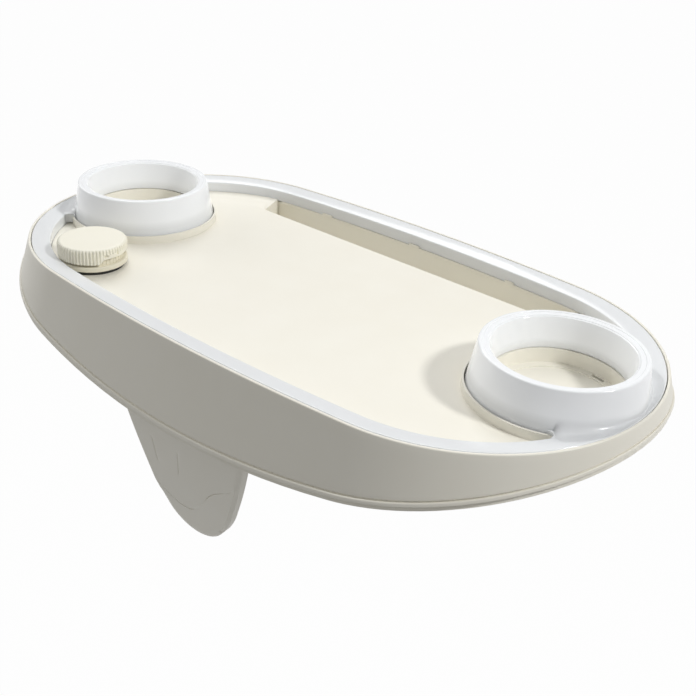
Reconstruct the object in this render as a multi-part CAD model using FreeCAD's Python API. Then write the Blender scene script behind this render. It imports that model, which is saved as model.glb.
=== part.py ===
import FreeCAD, Part
import math
import os

# A lit tray with two cup rings, which sits astride the wall of a tub.
# X runs along the tray, Y from the front to the back and Z up, in millimetres. The origin is the
# middle of the underside, where the tub's wall carries the tray, midway between the two legs.
# A level is a height counted from the plane of the tray's rim, so most levels are negative.

# tray outline: two long side arcs that run tangent into two end arcs
half_length = 260.5
half_width = 139.0
side_bulge = 5.7           # the end arcs' radius is this much less than the half width

# tray body
flare = 0.29               # outward lean of the skirt, per unit of depth
arch_depth = 53.0          # top of the skirt's bead under the rim plane, at the middle
arch_end_depth = 11.6      # and at the rim's ends, as the skirt's edge is bowed along X
wall = 2.6
lip_width = 2.0            # solid lip outside the light band
deck_level = -10.3
deck_thickness = 2.6
channel_floor = -13.0      # floor of the channel that the band covers
bead_height = 2.4
bead_proud = 0.8
groove_height = 0.9
groove_depth = 0.7

# light guide: band round the rim and two cup rings, moulded as one
band_inner = 16.3          # from the outline to the band's inner edge
band_fall = 2.1            # the band's top slopes down inwards by this much
band_face = 9.1            # height of the band's inner face
band_wall = 2.2
band_leg_level = -9.0      # foot of the band's outer leg
fit_gap = 0.25             # moulded pieces beside each other
seat_gap = 0.2             # pieces that stand on each other
ring_edge = 3.0            # from the outline to the ring's foot
ring_rise = 22.3
ring_draft = 2.1           # the lip's inner edge lies outside the throat by this much
ring_lip_width = 7.2
ring_flare = 5.7           # the foot lies outside the lip by this much
ring_foot_level = -10.0
ring_throat_step = 0.9     # the throat lies outside the well by this much
ring_throat_level = 0.1    # just above the rim
ring_throat_height = 3.5   # straight part at the foot of the ring's inside
ring_wall = 2.3
ring_lip_round = 2.6
root_radius = 9.0          # hollow corner where a ring meets the band
notch_radius_right = 2.0   # round end of the gap between ring and band
notch_radius_left = 4.5
hook_pitch = 93.0          # snap hooks along the band's inner face
hook_middle = -6.0
hook_width = 12.0
hook_height = 1.8
hook_proud = 0.8

# cup wells
well_radius = 42.0
well_floor = -11.0
well_wall = 2.4
well_disc_inset = 6.0
well_disc_depth = 0.6
well_drain_length = 10.0
well_drain_width = 2.5
well_drain_inset = 3.0     # from the well's wall to the drain's middle
well_drain_angle = 77.0    # degrees round the well, mirrored for the left one
collar_top = -6.4
collar_wall = 1.7
collar_root = 1.4

# phone slot
slot_inset = 51.7          # from the outline at the middle to the straight near edge
slot_beyond = 6.8          # the near corners lie this far past the side arcs
slot_slant = 14.0          # the end walls run outwards by this much at the far side
slot_floor = -34.0
slot_scoop = 16.0          # length of the ramp at each end of the near edge
slot_scoop_depth = 3.5
slot_drain_length = 26.0
slot_drain_width = 3.6
slot_drain_pitch = 62.0

# bottom cover
cover_thickness = 2.5
cover_inset = 1.0
cover_rim = 4.5
cover_rim_wall = 1.8

# legs
leg_setback = 1.0          # front face at the leg's root, behind the rim's outline
leg_lean = 7.0             # degrees inwards, going down
leg_depth = 8.5
leg_wall = 2.4
leg_root_half = 64.0       # half width at the root, then at the knee and the toe
leg_knee_half = 42.0
leg_knee_level = -124.0
leg_toe_half = 24.5
leg_toe_level = -152.5
leg_tip_level = -162.5
leg_side_bow = 1.5         # how far the side and toe arcs swell from straight
leg_toe_bow = 1.8
leg_bevel = 2.4            # bevel round the front face
leg_flange_reach = 31.0
leg_flange_thickness = 3.0
leg_rib_pitch = 24.0

# battery cap and case
cap_angle = -105.1         # degrees round the left end arc's centre
cap_edge_gap = 0.45        # from the cap's skirt to the band's inner edge, in plan
cap_grip = 4.5             # the cap's skirt lies outside the neck by this much
cap_top = 9.7
cap_edge = -1.8
cap_window_edge = 1.7      # the skirt is shorter over the window
cap_window_from = -31.0    # degrees round the cap's axis from +X
cap_window_to = 59.0
cap_rib_short = 2.6        # ribs over the window are this long
cap_wall = 2.4
cap_round = 2.2
cap_ribs = 64
cap_rib_depth = 0.6
neck_wall = 2.5
neck_step = 2.0            # the neck's bore lies outside the case by this much
neck_top = 5.0
lug_angles = (105.0, 180.0, 255.0)
lug_width = 26.0
lug_height = 1.4
lug_level = 0.0
run_gap = 0.3              # between the turning cap and what it passes
flange_proud = 0.2         # the flange is this much wider than the cap's skirt
flange_top = -3.6
flange_foot = -7.4
tick_count = 48
tick_proud = 0.45
seal_section = 1.2         # half of the cap seal's width and height
seal_groove = 0.45
case_wall = 2.2
case_shoulder = -19.0
case_seal_width = 2.3
nut_bearing = 1.6          # the nut is this much wider than the neck's hole
nut_height = 5.0

# cells and their cage
cell_radius = 5.25
cell_length = 43.5
cell_pip_radius = 1.9
cell_pip_height = 1.0
cell_ring = 6.5
cage_edge = 1.85           # from the cells to the cage's edge
cage_clearance = 0.4
cage_post_radius = 1.5
cage_plate = 1.5
contact_radius = 4.2
contact_thickness = 0.4
spring_radius = 4.0
spring_tip_radius = 2.2
spring_height = 2.0

# lighting
strip_thickness = 0.8
strip_outer = 5.0
strip_inner = 12.0
led_length = 3.5
led_width = 2.8
led_height = 1.0
led_pitch = 32.0
ring_strip_inset = 3.9     # from the ring's foot to the strip
ring_strip_width = 6.0
ring_led_count = 10
board_length = 42.0
board_width = 24.0
board_thickness = 1.6
board_from_cap = 59.0      # from the cap's axis to the board's middle, along X
board_set_out = 3.8        # and towards the front
post_height = 4.0

# screws
screw_radius = 1.5
screw_head_radius = 3.0
screw_head_height = 2.0
screw_length = 9.0
boss_radius = 3.6
cover_screw_x = 88.0
cover_screw_rear = 2.0     # inside the outline, behind the slot
cover_screw_front = 8.0
cover_screw_angle = 56.5   # degrees round an end arc's centre
cover_screw_inset = 15.8
leg_screw_x = 34.0
leg_screw_inset = 21.0

# worked out from the values above
Z = FreeCAD.Vector(0, 0, 1)
end_radius = half_width - side_bulge
arch_rise = arch_depth - arch_end_depth
arch_radius = (arch_rise ** 2 + half_length ** 2) / (2 * arch_rise)
ring_throat_radius = well_radius + ring_throat_step
ring_lip_inner = ring_throat_radius + ring_draft
ring_lip_outer = ring_lip_inner + ring_lip_width
ring_foot_radius = ring_lip_outer + ring_flare
ring_x = half_length - ring_edge - ring_foot_radius
ring_strip_outer = ring_foot_radius - ring_strip_inset
ring_strip_inner = ring_strip_outer - ring_strip_width
well_disc_radius = well_radius - well_disc_inset
cage_radius = cell_ring + cell_radius + cage_edge
case_bore = cage_radius + cage_clearance
case_radius = case_bore + case_wall
neck_bore = case_radius + neck_step
neck_radius = neck_bore + neck_wall
case_seal_radius = neck_radius + case_seal_width
cap_radius = neck_radius + cap_grip
flange_radius = cap_radius + flange_proud
leg_front = half_width - leg_setback
side_radius = ((half_length - end_radius) ** 2 + half_width ** 2 - end_radius ** 2) / (
    2 * (half_width - end_radius))
end_x = half_length - end_radius
cap_reach = end_radius - band_inner - cap_radius - cap_edge_gap
cap_x = -end_x + cap_reach * math.cos(math.radians(cap_angle))
cap_y = cap_reach * math.sin(math.radians(cap_angle))
board_x = cap_x + board_from_cap
board_y = cap_y - board_set_out
slot_near = half_width - slot_inset
slot_half = end_x + slot_beyond
side_y = side_radius - half_width
skirt_depth = arch_depth + bead_height
cover_depth = skirt_depth + seat_gap
cover_bottom = cover_depth + cover_thickness
nut_radius = neck_radius + fit_gap + nut_bearing
rim_height = cover_bottom  # rim plane above the saddle seat
arch_centre = rim_height - arch_depth + arch_radius
channel_inner = band_inner + fit_gap
band_outer = lip_width + fit_gap
band_foot = -band_fall - band_face
underside = channel_floor - deck_thickness
collar_inner = ring_foot_radius + fit_gap
well_outer = well_radius + well_wall
deep = 90.0


def v(x, y, z=0.0):
    return FreeCAD.Vector(x, y, z)


def at(level):
    """Height of a level above the saddle seat."""
    return rim_height + level


def rounded(points):
    """Closed polygon of (x, y, radius) corners as a list of edges.

    A radius of 0 keeps the corner sharp, and a negative one cuts it off straight, that far away.
    """
    starts = []
    ends = []
    arcs = []
    count = len(points)
    for i in range(count):
        x, y, r = points[i]
        corner = v(x, y)
        before = v(*points[i - 1][:2]) - corner
        after = v(*points[(i + 1) % count][:2]) - corner
        if r == 0:
            starts.append(corner)
            ends.append(corner)
            arcs.append(None)
            continue
        before.normalize()
        after.normalize()
        if r < 0:
            starts.append(corner - before * r)
            ends.append(corner - after * r)
            arcs.append(Part.makeLine(starts[-1], ends[-1]))
            continue
        half = before.getAngle(after) / 2
        reach = r / math.tan(half)
        middle = before + after
        middle.normalize()
        centre = corner + middle * (r / math.sin(half))
        first = corner + before * reach
        last = corner + after * reach
        arcs.append(Part.Arc(first, centre - middle * r, last).toShape())
        starts.append(first)
        ends.append(last)
    edges = []
    for i in range(count):
        if arcs[i] is not None:
            edges.append(arcs[i])
        following = starts[(i + 1) % count]
        if ends[i].distanceToPoint(following) > 1e-6:
            edges.append(Part.makeLine(ends[i], following))
    return edges


def plan_face(points):
    return Part.Face(Part.Wire(rounded(points)))


def plan_prism(points, low, high):
    """Prism with a rounded plan outline between two levels."""
    face = plan_face(points)
    face.translate(v(0, 0, at(low)))
    return face.extrude(v(0, 0, high - low))


def standing_face(points):
    """Face in the XZ plane from (distance, level) corners."""
    face = plan_face([(x, z + rim_height, r) for x, z, r in points])
    face.rotate(v(0, 0), v(1, 0), 90)
    return face


def turned(points, x=0.0, y=0.0, angle=360.0, start=0.0):
    """A (radius, level) outline revolved about the upright axis through x, y."""
    face = standing_face(points)
    face.rotate(v(0, 0), Z, start)
    solid = face.revolve(v(0, 0), Z, angle)
    solid.translate(v(x, y))
    return solid


def disc(radius, low, high, x=0.0, y=0.0):
    return Part.makeCylinder(radius, high - low, v(x, y, at(low)))


def tube(outer, inner, low, high, x=0.0, y=0.0):
    return disc(outer, low, high, x, y).cut(disc(inner, low - 1, high + 1, x, y))


def box(x0, x1, y0, y1, low, high):
    return Part.makeBox(x1 - x0, y1 - y0, high - low, v(x0, y0, at(low)))


def joined(shapes):
    """Fuse a list of solids into one shape."""
    shapes = list(shapes)
    if len(shapes) == 1:
        return shapes[0]
    return shapes[0].fuse(shapes[1:]).removeSplitter()


def oval_wire(offset, level):
    """The tray's outline pushed outwards by offset: two end arcs and two side arcs."""
    sx = end_x / (side_radius - end_radius)
    sy = side_y / (side_radius - end_radius)
    reach = end_radius + offset
    z = at(level)
    jx = end_x + reach * sx
    jy = reach * sy
    top = half_width + offset
    right = half_length + offset
    arcs = [
        Part.Arc(v(jx, -jy, z), v(right, 0, z), v(jx, jy, z)),
        Part.Arc(v(jx, jy, z), v(0, top, z), v(-jx, jy, z)),
        Part.Arc(v(-jx, jy, z), v(-right, 0, z), v(-jx, -jy, z)),
        Part.Arc(v(-jx, -jy, z), v(0, -top, z), v(jx, -jy, z)),
    ]
    return Part.Wire([arc.toShape() for arc in arcs])


def oval_prism(offset, low, high):
    return Part.Face(oval_wire(offset, low)).extrude(v(0, 0, high - low))


def flared(offset, top=0.0):
    """Solid inside the leaning skirt surface, from a level down past the underside."""
    wires = [oval_wire(offset - flare * top, top), oval_wire(offset + flare * deep, -deep)]
    return Part.makeLoft(wires, True, True)


def bowl(depth):
    """Everything above the bowed underside; depth is its place under the rim at the middle."""
    radius = arch_radius + depth - arch_depth
    cylinder = Part.makeCylinder(radius, 600, v(0, -300, arch_centre), v(0, 1, 0))
    return cylinder


def oval_sweep(points):
    """An (inset, level) outline carried round the tray's outline, one arc at a time."""
    half_turn = math.degrees(math.atan2(side_y, end_x))
    pieces = []
    for x, start in ((end_x, -half_turn), (-end_x, 180 - half_turn)):
        outline = [(end_radius - inset, level, r) for inset, level, r in reversed(points)]
        pieces.append(turned(outline, x, 0, 2 * half_turn, start))
    for y, start in ((-side_y, half_turn), (side_y, 180 + half_turn)):
        outline = [(side_radius - inset, level, r) for inset, level, r in reversed(points)]
        pieces.append(turned(outline, 0, y, 180 - 2 * half_turn, start))
    return joined(pieces)


def ring_wall_radius(level):
    """Radius of a cup ring's outer wall at a level."""
    share = (level - ring_foot_level) / (ring_rise - ring_foot_level)
    return ring_foot_radius + (ring_lip_outer - ring_foot_radius) * share


def notch_fill(side, radius, clearance, low, high):
    """Web that closes the narrow end of the gap between a ring's foot and the band."""
    foot = ring_foot_radius
    edge = end_radius - band_inner
    apart = ring_x - end_x
    to_ring = foot + radius
    to_end = edge - radius
    along = (to_end ** 2 - to_ring ** 2 + apart ** 2) / (2 * apart)
    across = math.sqrt(to_end ** 2 - along ** 2)
    centre = v(end_x + along, across)
    ring_middle = v(ring_x, 0)
    end_middle = v(end_x, 0)
    on_ring = centre + (ring_middle - centre).normalize() * (radius + 0.8)
    on_band = centre + (centre - end_middle).normalize() * (radius + 0.8)
    beyond = centre + (v(0, -1) + v(1, -0.6)).normalize() * (3 * radius + 6)
    corners = [on_ring, beyond, on_band, centre]
    wire = Part.makePolygon([p + v(0, 0, at(low)) for p in corners + [corners[0]]])
    web = Part.Face(wire).extrude(v(0, 0, high - low))
    web = web.cut(disc(radius - clearance, low - 1, high + 1, centre.x, centre.y))
    webs = [web, web.mirror(v(0, 0), v(0, 1, 0))]
    if side < 0:
        webs = [w.mirror(v(0, 0), v(1, 0, 0)) for w in webs]
    return webs


def all_notch_fills(clearance, low, high):
    right = notch_fill(1, notch_radius_right, clearance, low, high)
    left = notch_fill(-1, notch_radius_left, clearance, low, high)
    return right + left


def slot_plan(grow):
    """Outline of the phone slot in plan, pushed outwards by grow; its far side is cut by the band."""
    near = slot_near - grow
    far = half_width
    slope = slot_slant / (half_width - channel_inner - slot_near)
    half = slot_half + grow * math.hypot(1, slope) - grow * slope
    wide = half + slope * (far - near)
    return [(half, near, 0), (wide, far, 0), (-wide, far, 0), (-half, near, 0)]


def slot_solid(grow, low, high):
    """The slot's space between two levels; its far wall follows the band's inner edge."""
    block = plan_prism(slot_plan(grow), low, high)
    return block.common(oval_prism(-channel_inner + grow, low - 1, high + 1))


def slot_ends(low, high):
    """Ramps that lead into the slot at both ends of its near edge."""
    half = slot_half
    rise = slot_scoop_depth
    run = slot_scoop
    low_corner = v(half - 0.5, slot_near, at(deck_level - rise))
    high_corner = v(half + run, slot_near + 1, at(deck_level))
    far_corner = v(half + slot_slant, slot_near + 18, at(deck_level))
    above = v(0, 0, 6)
    lid = [low_corner, high_corner, far_corner]
    faces = [
        Part.Face(Part.makePolygon(lid + [lid[0]])),
        Part.Face(Part.makePolygon([p + above for p in lid] + [lid[0] + above])),
    ]
    for i in range(3):
        a = lid[i]
        b = lid[(i + 1) % 3]
        faces.append(Part.Face(Part.makePolygon([a, b, b + above, a + above, a])))
    wedge = Part.Solid(Part.Shell(faces))
    return [wedge, wedge.mirror(v(0, 0), v(1, 0, 0))]


def boss(x, y, top, radius=boss_radius):
    """Pillar under the deck for a screw, with its pilot hole; it ends on the cover."""
    post = disc(radius, -deep, top, x, y).common(bowl(cover_depth - seat_gap))
    pilot = disc(screw_radius - 0.2, -deep, top - 3, x, y)
    return post, pilot


def cover_bosses():
    reach = end_radius - cover_screw_inset
    end = (end_x + reach * math.cos(math.radians(cover_screw_angle)),
           reach * math.sin(math.radians(cover_screw_angle)))
    right = [
        (cover_screw_x, half_width - cover_screw_rear),
        (cover_screw_x, cover_screw_front - half_width),
        end,
        (end[0], -end[1]),
    ]
    return right + [(-x, y) for x, y in right]


def leg_screw_spots():
    y = leg_front - leg_screw_inset
    return [(sx * leg_screw_x, sy * y) for sx in (-1, 1) for sy in (-1, 1)]


def seat_under(x, depth):
    """Level of a bowed surface at a distance x from the middle."""
    radius = arch_radius + depth - arch_depth
    return arch_centre - rim_height - math.sqrt(radius ** 2 - x ** 2)


def upper_shell():
    body = flared(0.0).common(bowl(skirt_depth))
    # bead and groove along the skirt's edge
    bead = flared(bead_proud).common(bowl(skirt_depth)).cut(bowl(skirt_depth - bead_height))
    groove = flared(bead_proud + 2).common(bowl(skirt_depth - bead_height))
    groove = groove.cut(bowl(skirt_depth - bead_height - groove_height)).cut(flared(-groove_depth))
    body = body.fuse(bead).cut(groove)
    # hollow underneath, then the tray's top
    hollow = flared(-wall, underside)
    body = body.cut(hollow)
    under_deck = oval_prism(-channel_inner - wall, underside - 1, deck_level - deck_thickness)
    body = body.cut(under_deck)
    # wells, collars, slot trough and bosses are added before the tops are cut
    extra = []
    for side in (-1, 1):
        x = side * ring_x
        extra.append(disc(collar_inner + wall, underside, deck_level - 0.5, x))
        collar = [
            (collar_inner, deck_level - 1, 0),
            (collar_inner + collar_wall + collar_root, deck_level - 1, 0),
            (collar_inner + collar_wall + collar_root, deck_level, 0),
            (collar_inner + collar_wall, deck_level + collar_root, 0),
            (collar_inner + collar_wall, collar_top, -0.5),
            (collar_inner, collar_top, 0),
        ]
        ring = turned(collar, x)
        ring = ring.cut(flared(20).cut(oval_prism(-channel_inner, -deep, 1)))
        extra.append(ring)
    trough = slot_solid(wall, slot_floor - wall, deck_level)
    extra.append(trough)
    pilots = []
    for x, y in cover_bosses():
        post, pilot = boss(x, y, channel_floor - 0.5)
        extra.append(post)
        pilots.append(pilot)
    for x, y in leg_screw_spots():
        top = deck_level - 0.5 if y < 0 else slot_floor - 0.5
        post, pilot = boss(x, y, top)
        extra.append(post)
        pilots.append(pilot)
    for x in (-1, 1):
        spot = board_x + x * (board_length / 2 - 4)
        extra.append(disc(2.6, deck_level - deck_thickness - post_height, deck_level - 1, spot, board_y))
        pilots.append(disc(1.0, deck_level - deck_thickness - post_height - 1,
                           deck_level - deck_thickness, spot, board_y))
    body = joined([body] + extra).common(bowl(skirt_depth))
    # top pocket and the band's channel
    pocket = oval_prism(-lip_width, collar_top, 5)
    body = body.cut(pocket)
    step = oval_prism(-lip_width, deck_level, collar_top + 0.1)
    keep = [tube(collar_inner + collar_wall + collar_root + 0.1, collar_inner, deck_level - 0.1,
                 collar_top + 0.2, side * ring_x) for side in (-1, 1)]
    inside = joined(keep).common(oval_prism(-channel_inner, deck_level - 1, 1))
    body = body.cut(step.cut(inside))
    channel = oval_prism(-lip_width, channel_floor, 1)
    channel = channel.cut(oval_prism(-channel_inner, channel_floor - 1, 2))
    body = body.cut(channel)
    body = body.cut(joined(all_notch_fills(fit_gap, deck_level, 1)))
    # cup wells and their ring channels
    for side in (-1, 1):
        x = side * ring_x
        body = body.cut(tube(collar_inner, well_outer, channel_floor, 1, x))
        body = body.cut(disc(well_outer, well_floor, 1, x))
        body = body.fuse(tube(well_outer, well_radius, well_floor - 0.5, ring_throat_level - seat_gap, x))
        body = body.cut(disc(well_disc_radius, well_floor - well_disc_depth, well_floor + 0.1, x))
        middle = well_radius - well_drain_inset
        drain = box(-well_drain_length / 2, well_drain_length / 2, middle - well_drain_width / 2,
                    middle + well_drain_width / 2, underside - 1, well_floor + 1)
        drain.rotate(v(0, 0), Z, side * (well_drain_angle - 90))
        drain.translate(v(x, 0))
        body = body.cut(drain)
    # phone slot
    body = body.cut(slot_solid(0.0, slot_floor, 1))
    body = body.cut(joined(slot_ends(0, 0)))
    for i in (-1.5, -0.5, 0.5, 1.5):
        middle = i * slot_drain_pitch
        y = slot_near + slot_drain_width
        drain = box(middle - slot_drain_length / 2, middle + slot_drain_length / 2,
                    y, y + slot_drain_width, slot_floor - wall - 1, slot_floor + 1)
        body = body.cut(drain)
    # neck hole, pilot holes and the ends of the snap hooks
    body = body.cut(disc(neck_radius + fit_gap, underside - 2, 0, cap_x, cap_y))
    body = body.cut(joined(pilots))
    return body.removeSplitter()


def light_guide():
    top_wall = band_wall
    band = oval_sweep([
        (band_outer, 0.0, -0.7),
        (band_outer, band_leg_level, 0),
        (band_outer + band_wall, band_leg_level, 0),
        (band_outer + band_wall, -top_wall - 0.4, 0),
        (band_inner - band_wall, -top_wall - band_fall + 0.3, 0),
        (band_inner - band_wall, band_foot, 0),
        (band_inner, band_foot, 0),
        (band_inner, -band_fall, -0.9),
    ])
    pieces = []
    cuts = []
    for side in (-1, 1):
        x = side * ring_x
        lean = (ring_foot_radius - ring_lip_outer) / (ring_rise - ring_foot_level)
        under = ring_rise - ring_wall
        ring = turned([
            (ring_foot_radius, ring_foot_level, 0),
            (ring_lip_outer, ring_rise, ring_lip_round),
            (ring_lip_inner, ring_rise, ring_lip_round),
            (ring_throat_radius, ring_throat_level + ring_throat_height, 0),
            (ring_throat_radius, ring_throat_level, 0),
            (ring_throat_radius + ring_wall, ring_throat_level, 0),
            (ring_throat_radius + ring_wall, ring_throat_level + ring_throat_height, 0),
            (ring_lip_inner + ring_wall + 0.2, under, 0),
            (ring_lip_outer + lean * ring_wall - ring_wall, under, 0),
            (ring_foot_radius - ring_wall, ring_foot_level, 0),
        ], x)
        pieces.append(ring)
        # hollow corner in three flats, from the ring's wall down to the band's top
        root = ring_wall_radius(root_radius)
        hollow = [(root - 1.0, root_radius - 0.8, 0), (root - 1.0, -2.0, 0), (root + root_radius, -2.0, 0)]
        for turn in (0, 30, 60, 90):
            out = root_radius * (1 - math.sin(math.radians(turn)))
            rise = root_radius * (1 - math.cos(math.radians(turn)))
            hollow.append((root + out, rise - 0.8, 0))
        flare_root = turned(hollow, x)
        over_band = oval_prism(-band_outer, -3, 20).cut(oval_prism(-band_inner, -4, 21))
        pieces.append(flare_root.common(over_band))
        # the band opens into the ring's hollow
        inner = ring_foot_radius - ring_wall
        cuts.append(turned([
            (well_outer + fit_gap, -30, 0),
            (inner, -30, 0),
            (inner - 0.3, -ring_wall - band_fall, 0),
            (well_outer + fit_gap, -ring_wall - band_fall, 0),
        ], x))
    band = band.cut(joined(cuts))
    guide = joined([band] + pieces + all_notch_fills(0.0, ring_foot_level + 0.6, -band_fall + 0.1))
    hooks = []
    for sy in (-1, 1):
        for i in (-1, 0, 1):
            x = hook_middle + i * hook_pitch
            face = side_radius - band_inner
            y = sy * (math.sqrt(face ** 2 - x ** 2) - side_y)
            hooks.append(box(x - hook_width / 2, x + hook_width / 2, min(y, y - sy * hook_proud) - 0.3,
                             max(y, y - sy * hook_proud) + 0.3, deck_level + 0.2,
                             deck_level + 0.2 + hook_height))
    return joined([guide] + hooks)


def bottom_cover():
    plate = flared(-cover_inset).common(bowl(cover_bottom)).cut(bowl(cover_depth))
    rim = flared(-wall - fit_gap).common(bowl(cover_depth + 0.1)).cut(bowl(cover_depth - cover_rim))
    rim = rim.cut(flared(-wall - fit_gap - cover_rim_wall))
    rim = rim.common(oval_prism(deep, -deep, underside - seat_gap))
    cover = plate.fuse(rim)
    for x, y in cover_bosses():
        cover = cover.cut(disc(boss_radius + fit_gap, -deep, 0, x, y).common(bowl(cover_depth)))
        seat = seat_under(x, cover_bottom)
        cover = cover.cut(disc(screw_radius + 0.2, -deep, 0, x, y))
        cover = cover.cut(disc(screw_head_radius + 0.2, -deep, seat + 1.2, x, y))
    for x, y in leg_screw_spots():
        cover = cover.cut(disc(screw_radius + 0.2, -deep, 0, x, y))
    cover = cover.cut(disc(case_radius + fit_gap, -deep, 0, cap_x, cap_y))
    for i in (-1.5, -0.5, 0.5, 1.5):
        middle = i * slot_drain_pitch
        y = slot_near + slot_drain_width
        cover = cover.cut(box(middle - slot_drain_length / 2, middle + slot_drain_length / 2,
                              y, y + slot_drain_width, -deep, 0))
    return cover.removeSplitter()


def bowed(first, last, bow):
    """Arc in the XZ plane from one (x, level) to another that swells to the left by bow."""
    start = v(first[0], 0, at(first[1]))
    end = v(last[0], 0, at(last[1]))
    along = end - start
    along.normalize()
    middle = (start + end) * 0.5 + v(-along.z, 0, along.x) * bow
    return Part.Arc(start, middle, end).toShape()


def leg_outline(top):
    """Tongue's outline: straight root, bowed sides and toes, and a round tip."""
    right = [(leg_root_half, top), (leg_knee_half, leg_knee_level), (leg_toe_half, leg_toe_level)]
    left = [(-x, z) for x, z in reversed(right)]
    tip = Part.Arc(v(leg_toe_half, 0, at(leg_toe_level)), v(0, 0, at(leg_tip_level)),
                   v(-leg_toe_half, 0, at(leg_toe_level))).toShape()
    edges = [
        bowed(right[0], right[1], leg_side_bow),
        bowed(right[1], right[2], leg_toe_bow),
        tip,
        bowed(left[0], left[1], leg_toe_bow),
        bowed(left[1], left[2], leg_side_bow),
        Part.makeLine(v(-leg_root_half, 0, at(top)), v(leg_root_half, 0, at(top))),
    ]
    return Part.Wire(edges)


def leg(side):
    """One leg: a leaning hollow tongue under a bowed flange."""
    root = -cover_bottom - 1.5
    top = root + 6
    outline = leg_outline(top)

    def slab(inset, front, back):
        face = Part.Face(outline.makeOffset2D(-inset) if inset else outline)
        face.translate(v(0, -front, 0))
        return face.extrude(v(0, front - back, 0))

    front = leg_front
    back = leg_front - leg_depth
    tongue = slab(0, front - leg_bevel, back)
    rim = outline.copy()
    rim.translate(v(0, leg_bevel - front, 0))
    face_edge = outline.makeOffset2D(-leg_bevel)
    face_edge.translate(v(0, -front, 0))
    tongue = tongue.fuse(Part.makeLoft([rim, face_edge], True, True))
    hollow = slab(leg_bevel + leg_wall * 0.5, front - leg_wall, back - 1)
    body = tongue.cut(hollow)
    ribs = []
    for i in (-1, 0, 1):
        x = i * leg_rib_pitch
        ribs.append(box(x - 1, x + 1, -front + 1, -back - 1, leg_tip_level, top))
    ribs = joined(ribs).common(slab(leg_bevel, front, back))
    body = joined([body, ribs])
    pivot = v(0, -front, at(root))
    body.rotate(pivot, v(1, 0, 0), leg_lean)
    flange = box(-leg_root_half, leg_root_half, -front, -front + leg_flange_reach, -deep, 0)
    flange = flange.common(bowl(cover_bottom + leg_flange_thickness)).cut(bowl(cover_bottom))
    body = body.cut(bowl(cover_bottom))
    body = joined([body, flange])
    for x, y in leg_screw_spots():
        if y < 0:
            seat = seat_under(x, cover_bottom + leg_flange_thickness)
            body = body.cut(disc(screw_radius + 0.2, -deep, 0, x, y))
            body = body.cut(disc(screw_head_radius + 0.2, -deep, seat + 0.8, x, y))
    if side > 0:
        body = body.mirror(v(0, 0), v(0, 1, 0))
    return body


def screw(x, y, seat, length):
    """Pan-headed screw pointing up, its head under the seat level."""
    head = disc(screw_head_radius, seat - screw_head_height, seat, x, y)
    shank = disc(screw_radius - 0.25, seat - 0.2, seat + length, x, y)
    recess = box(x - 2, x + 2, y - 0.4, y + 0.4, seat - screw_head_height - 1, seat - screw_head_height + 0.9)
    return head.fuse(shank).cut(recess)


def battery_case():
    """Neck, flange and closed tube that hold the cells; it drops through the deck."""
    shape = turned([
        (neck_radius, neck_top, -0.6),
        (neck_bore, neck_top, 0),
        (neck_bore, case_shoulder + 2, 0),
        (case_bore, case_shoulder, 0),
        (case_bore, cage_floor, 0),
        (0, cage_floor, 0),
        (0, cage_floor - 2, 0),
        (case_radius, cage_floor - 2, -1.0),
        (case_radius, case_shoulder - 2, 0),
        (neck_radius, case_shoulder, 0),
        (neck_radius, flange_foot, 0),
        (flange_radius, flange_foot, -0.4),
        (flange_radius, flange_top, -0.8),
        (neck_radius, flange_top, 0),
    ], cap_x, cap_y)
    groove = tube(neck_radius + 1, neck_radius - seal_groove, seal_level - seal_section,
                  seal_level + seal_section, cap_x, cap_y)
    shape = shape.cut(groove)
    lugs = []
    for angle in lug_angles:
        lugs.append(turned([
            (neck_radius - 0.5, lug_level, 0),
            (lug_radius, lug_level, 0),
            (lug_radius, lug_level + lug_height, 0),
            (neck_radius - 0.5, lug_level + lug_height, 0),
        ], cap_x, cap_y, lug_width, angle - lug_width / 2))
    # barrel with fine ticks, seen through the cap's window
    span = cap_window_to - cap_window_from
    barrel = turned([
        (neck_radius - 0.5, flange_top - 0.2, 0),
        (barrel_radius, flange_top - 0.2, 0),
        (barrel_radius, cap_window_edge - 0.3, 0),
        (neck_radius - 0.5, cap_window_edge - 0.3, 0),
    ], cap_x, cap_y, span - 4, cap_window_from + 2)
    ticks = []
    step = 360.0 / tick_count
    for i in range(int((span - 12) / step) + 1):
        tick = box(neck_radius, barrel_radius + tick_proud, -tick_proud, tick_proud,
                   flange_top - 0.2, cap_window_edge - 0.8)
        tick.rotate(v(0, 0), Z, cap_window_from + 6 + i * step)
        tick.translate(v(cap_x, cap_y))
        ticks.append(tick)
    return joined([shape] + lugs + [barrel] + ticks)


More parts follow.
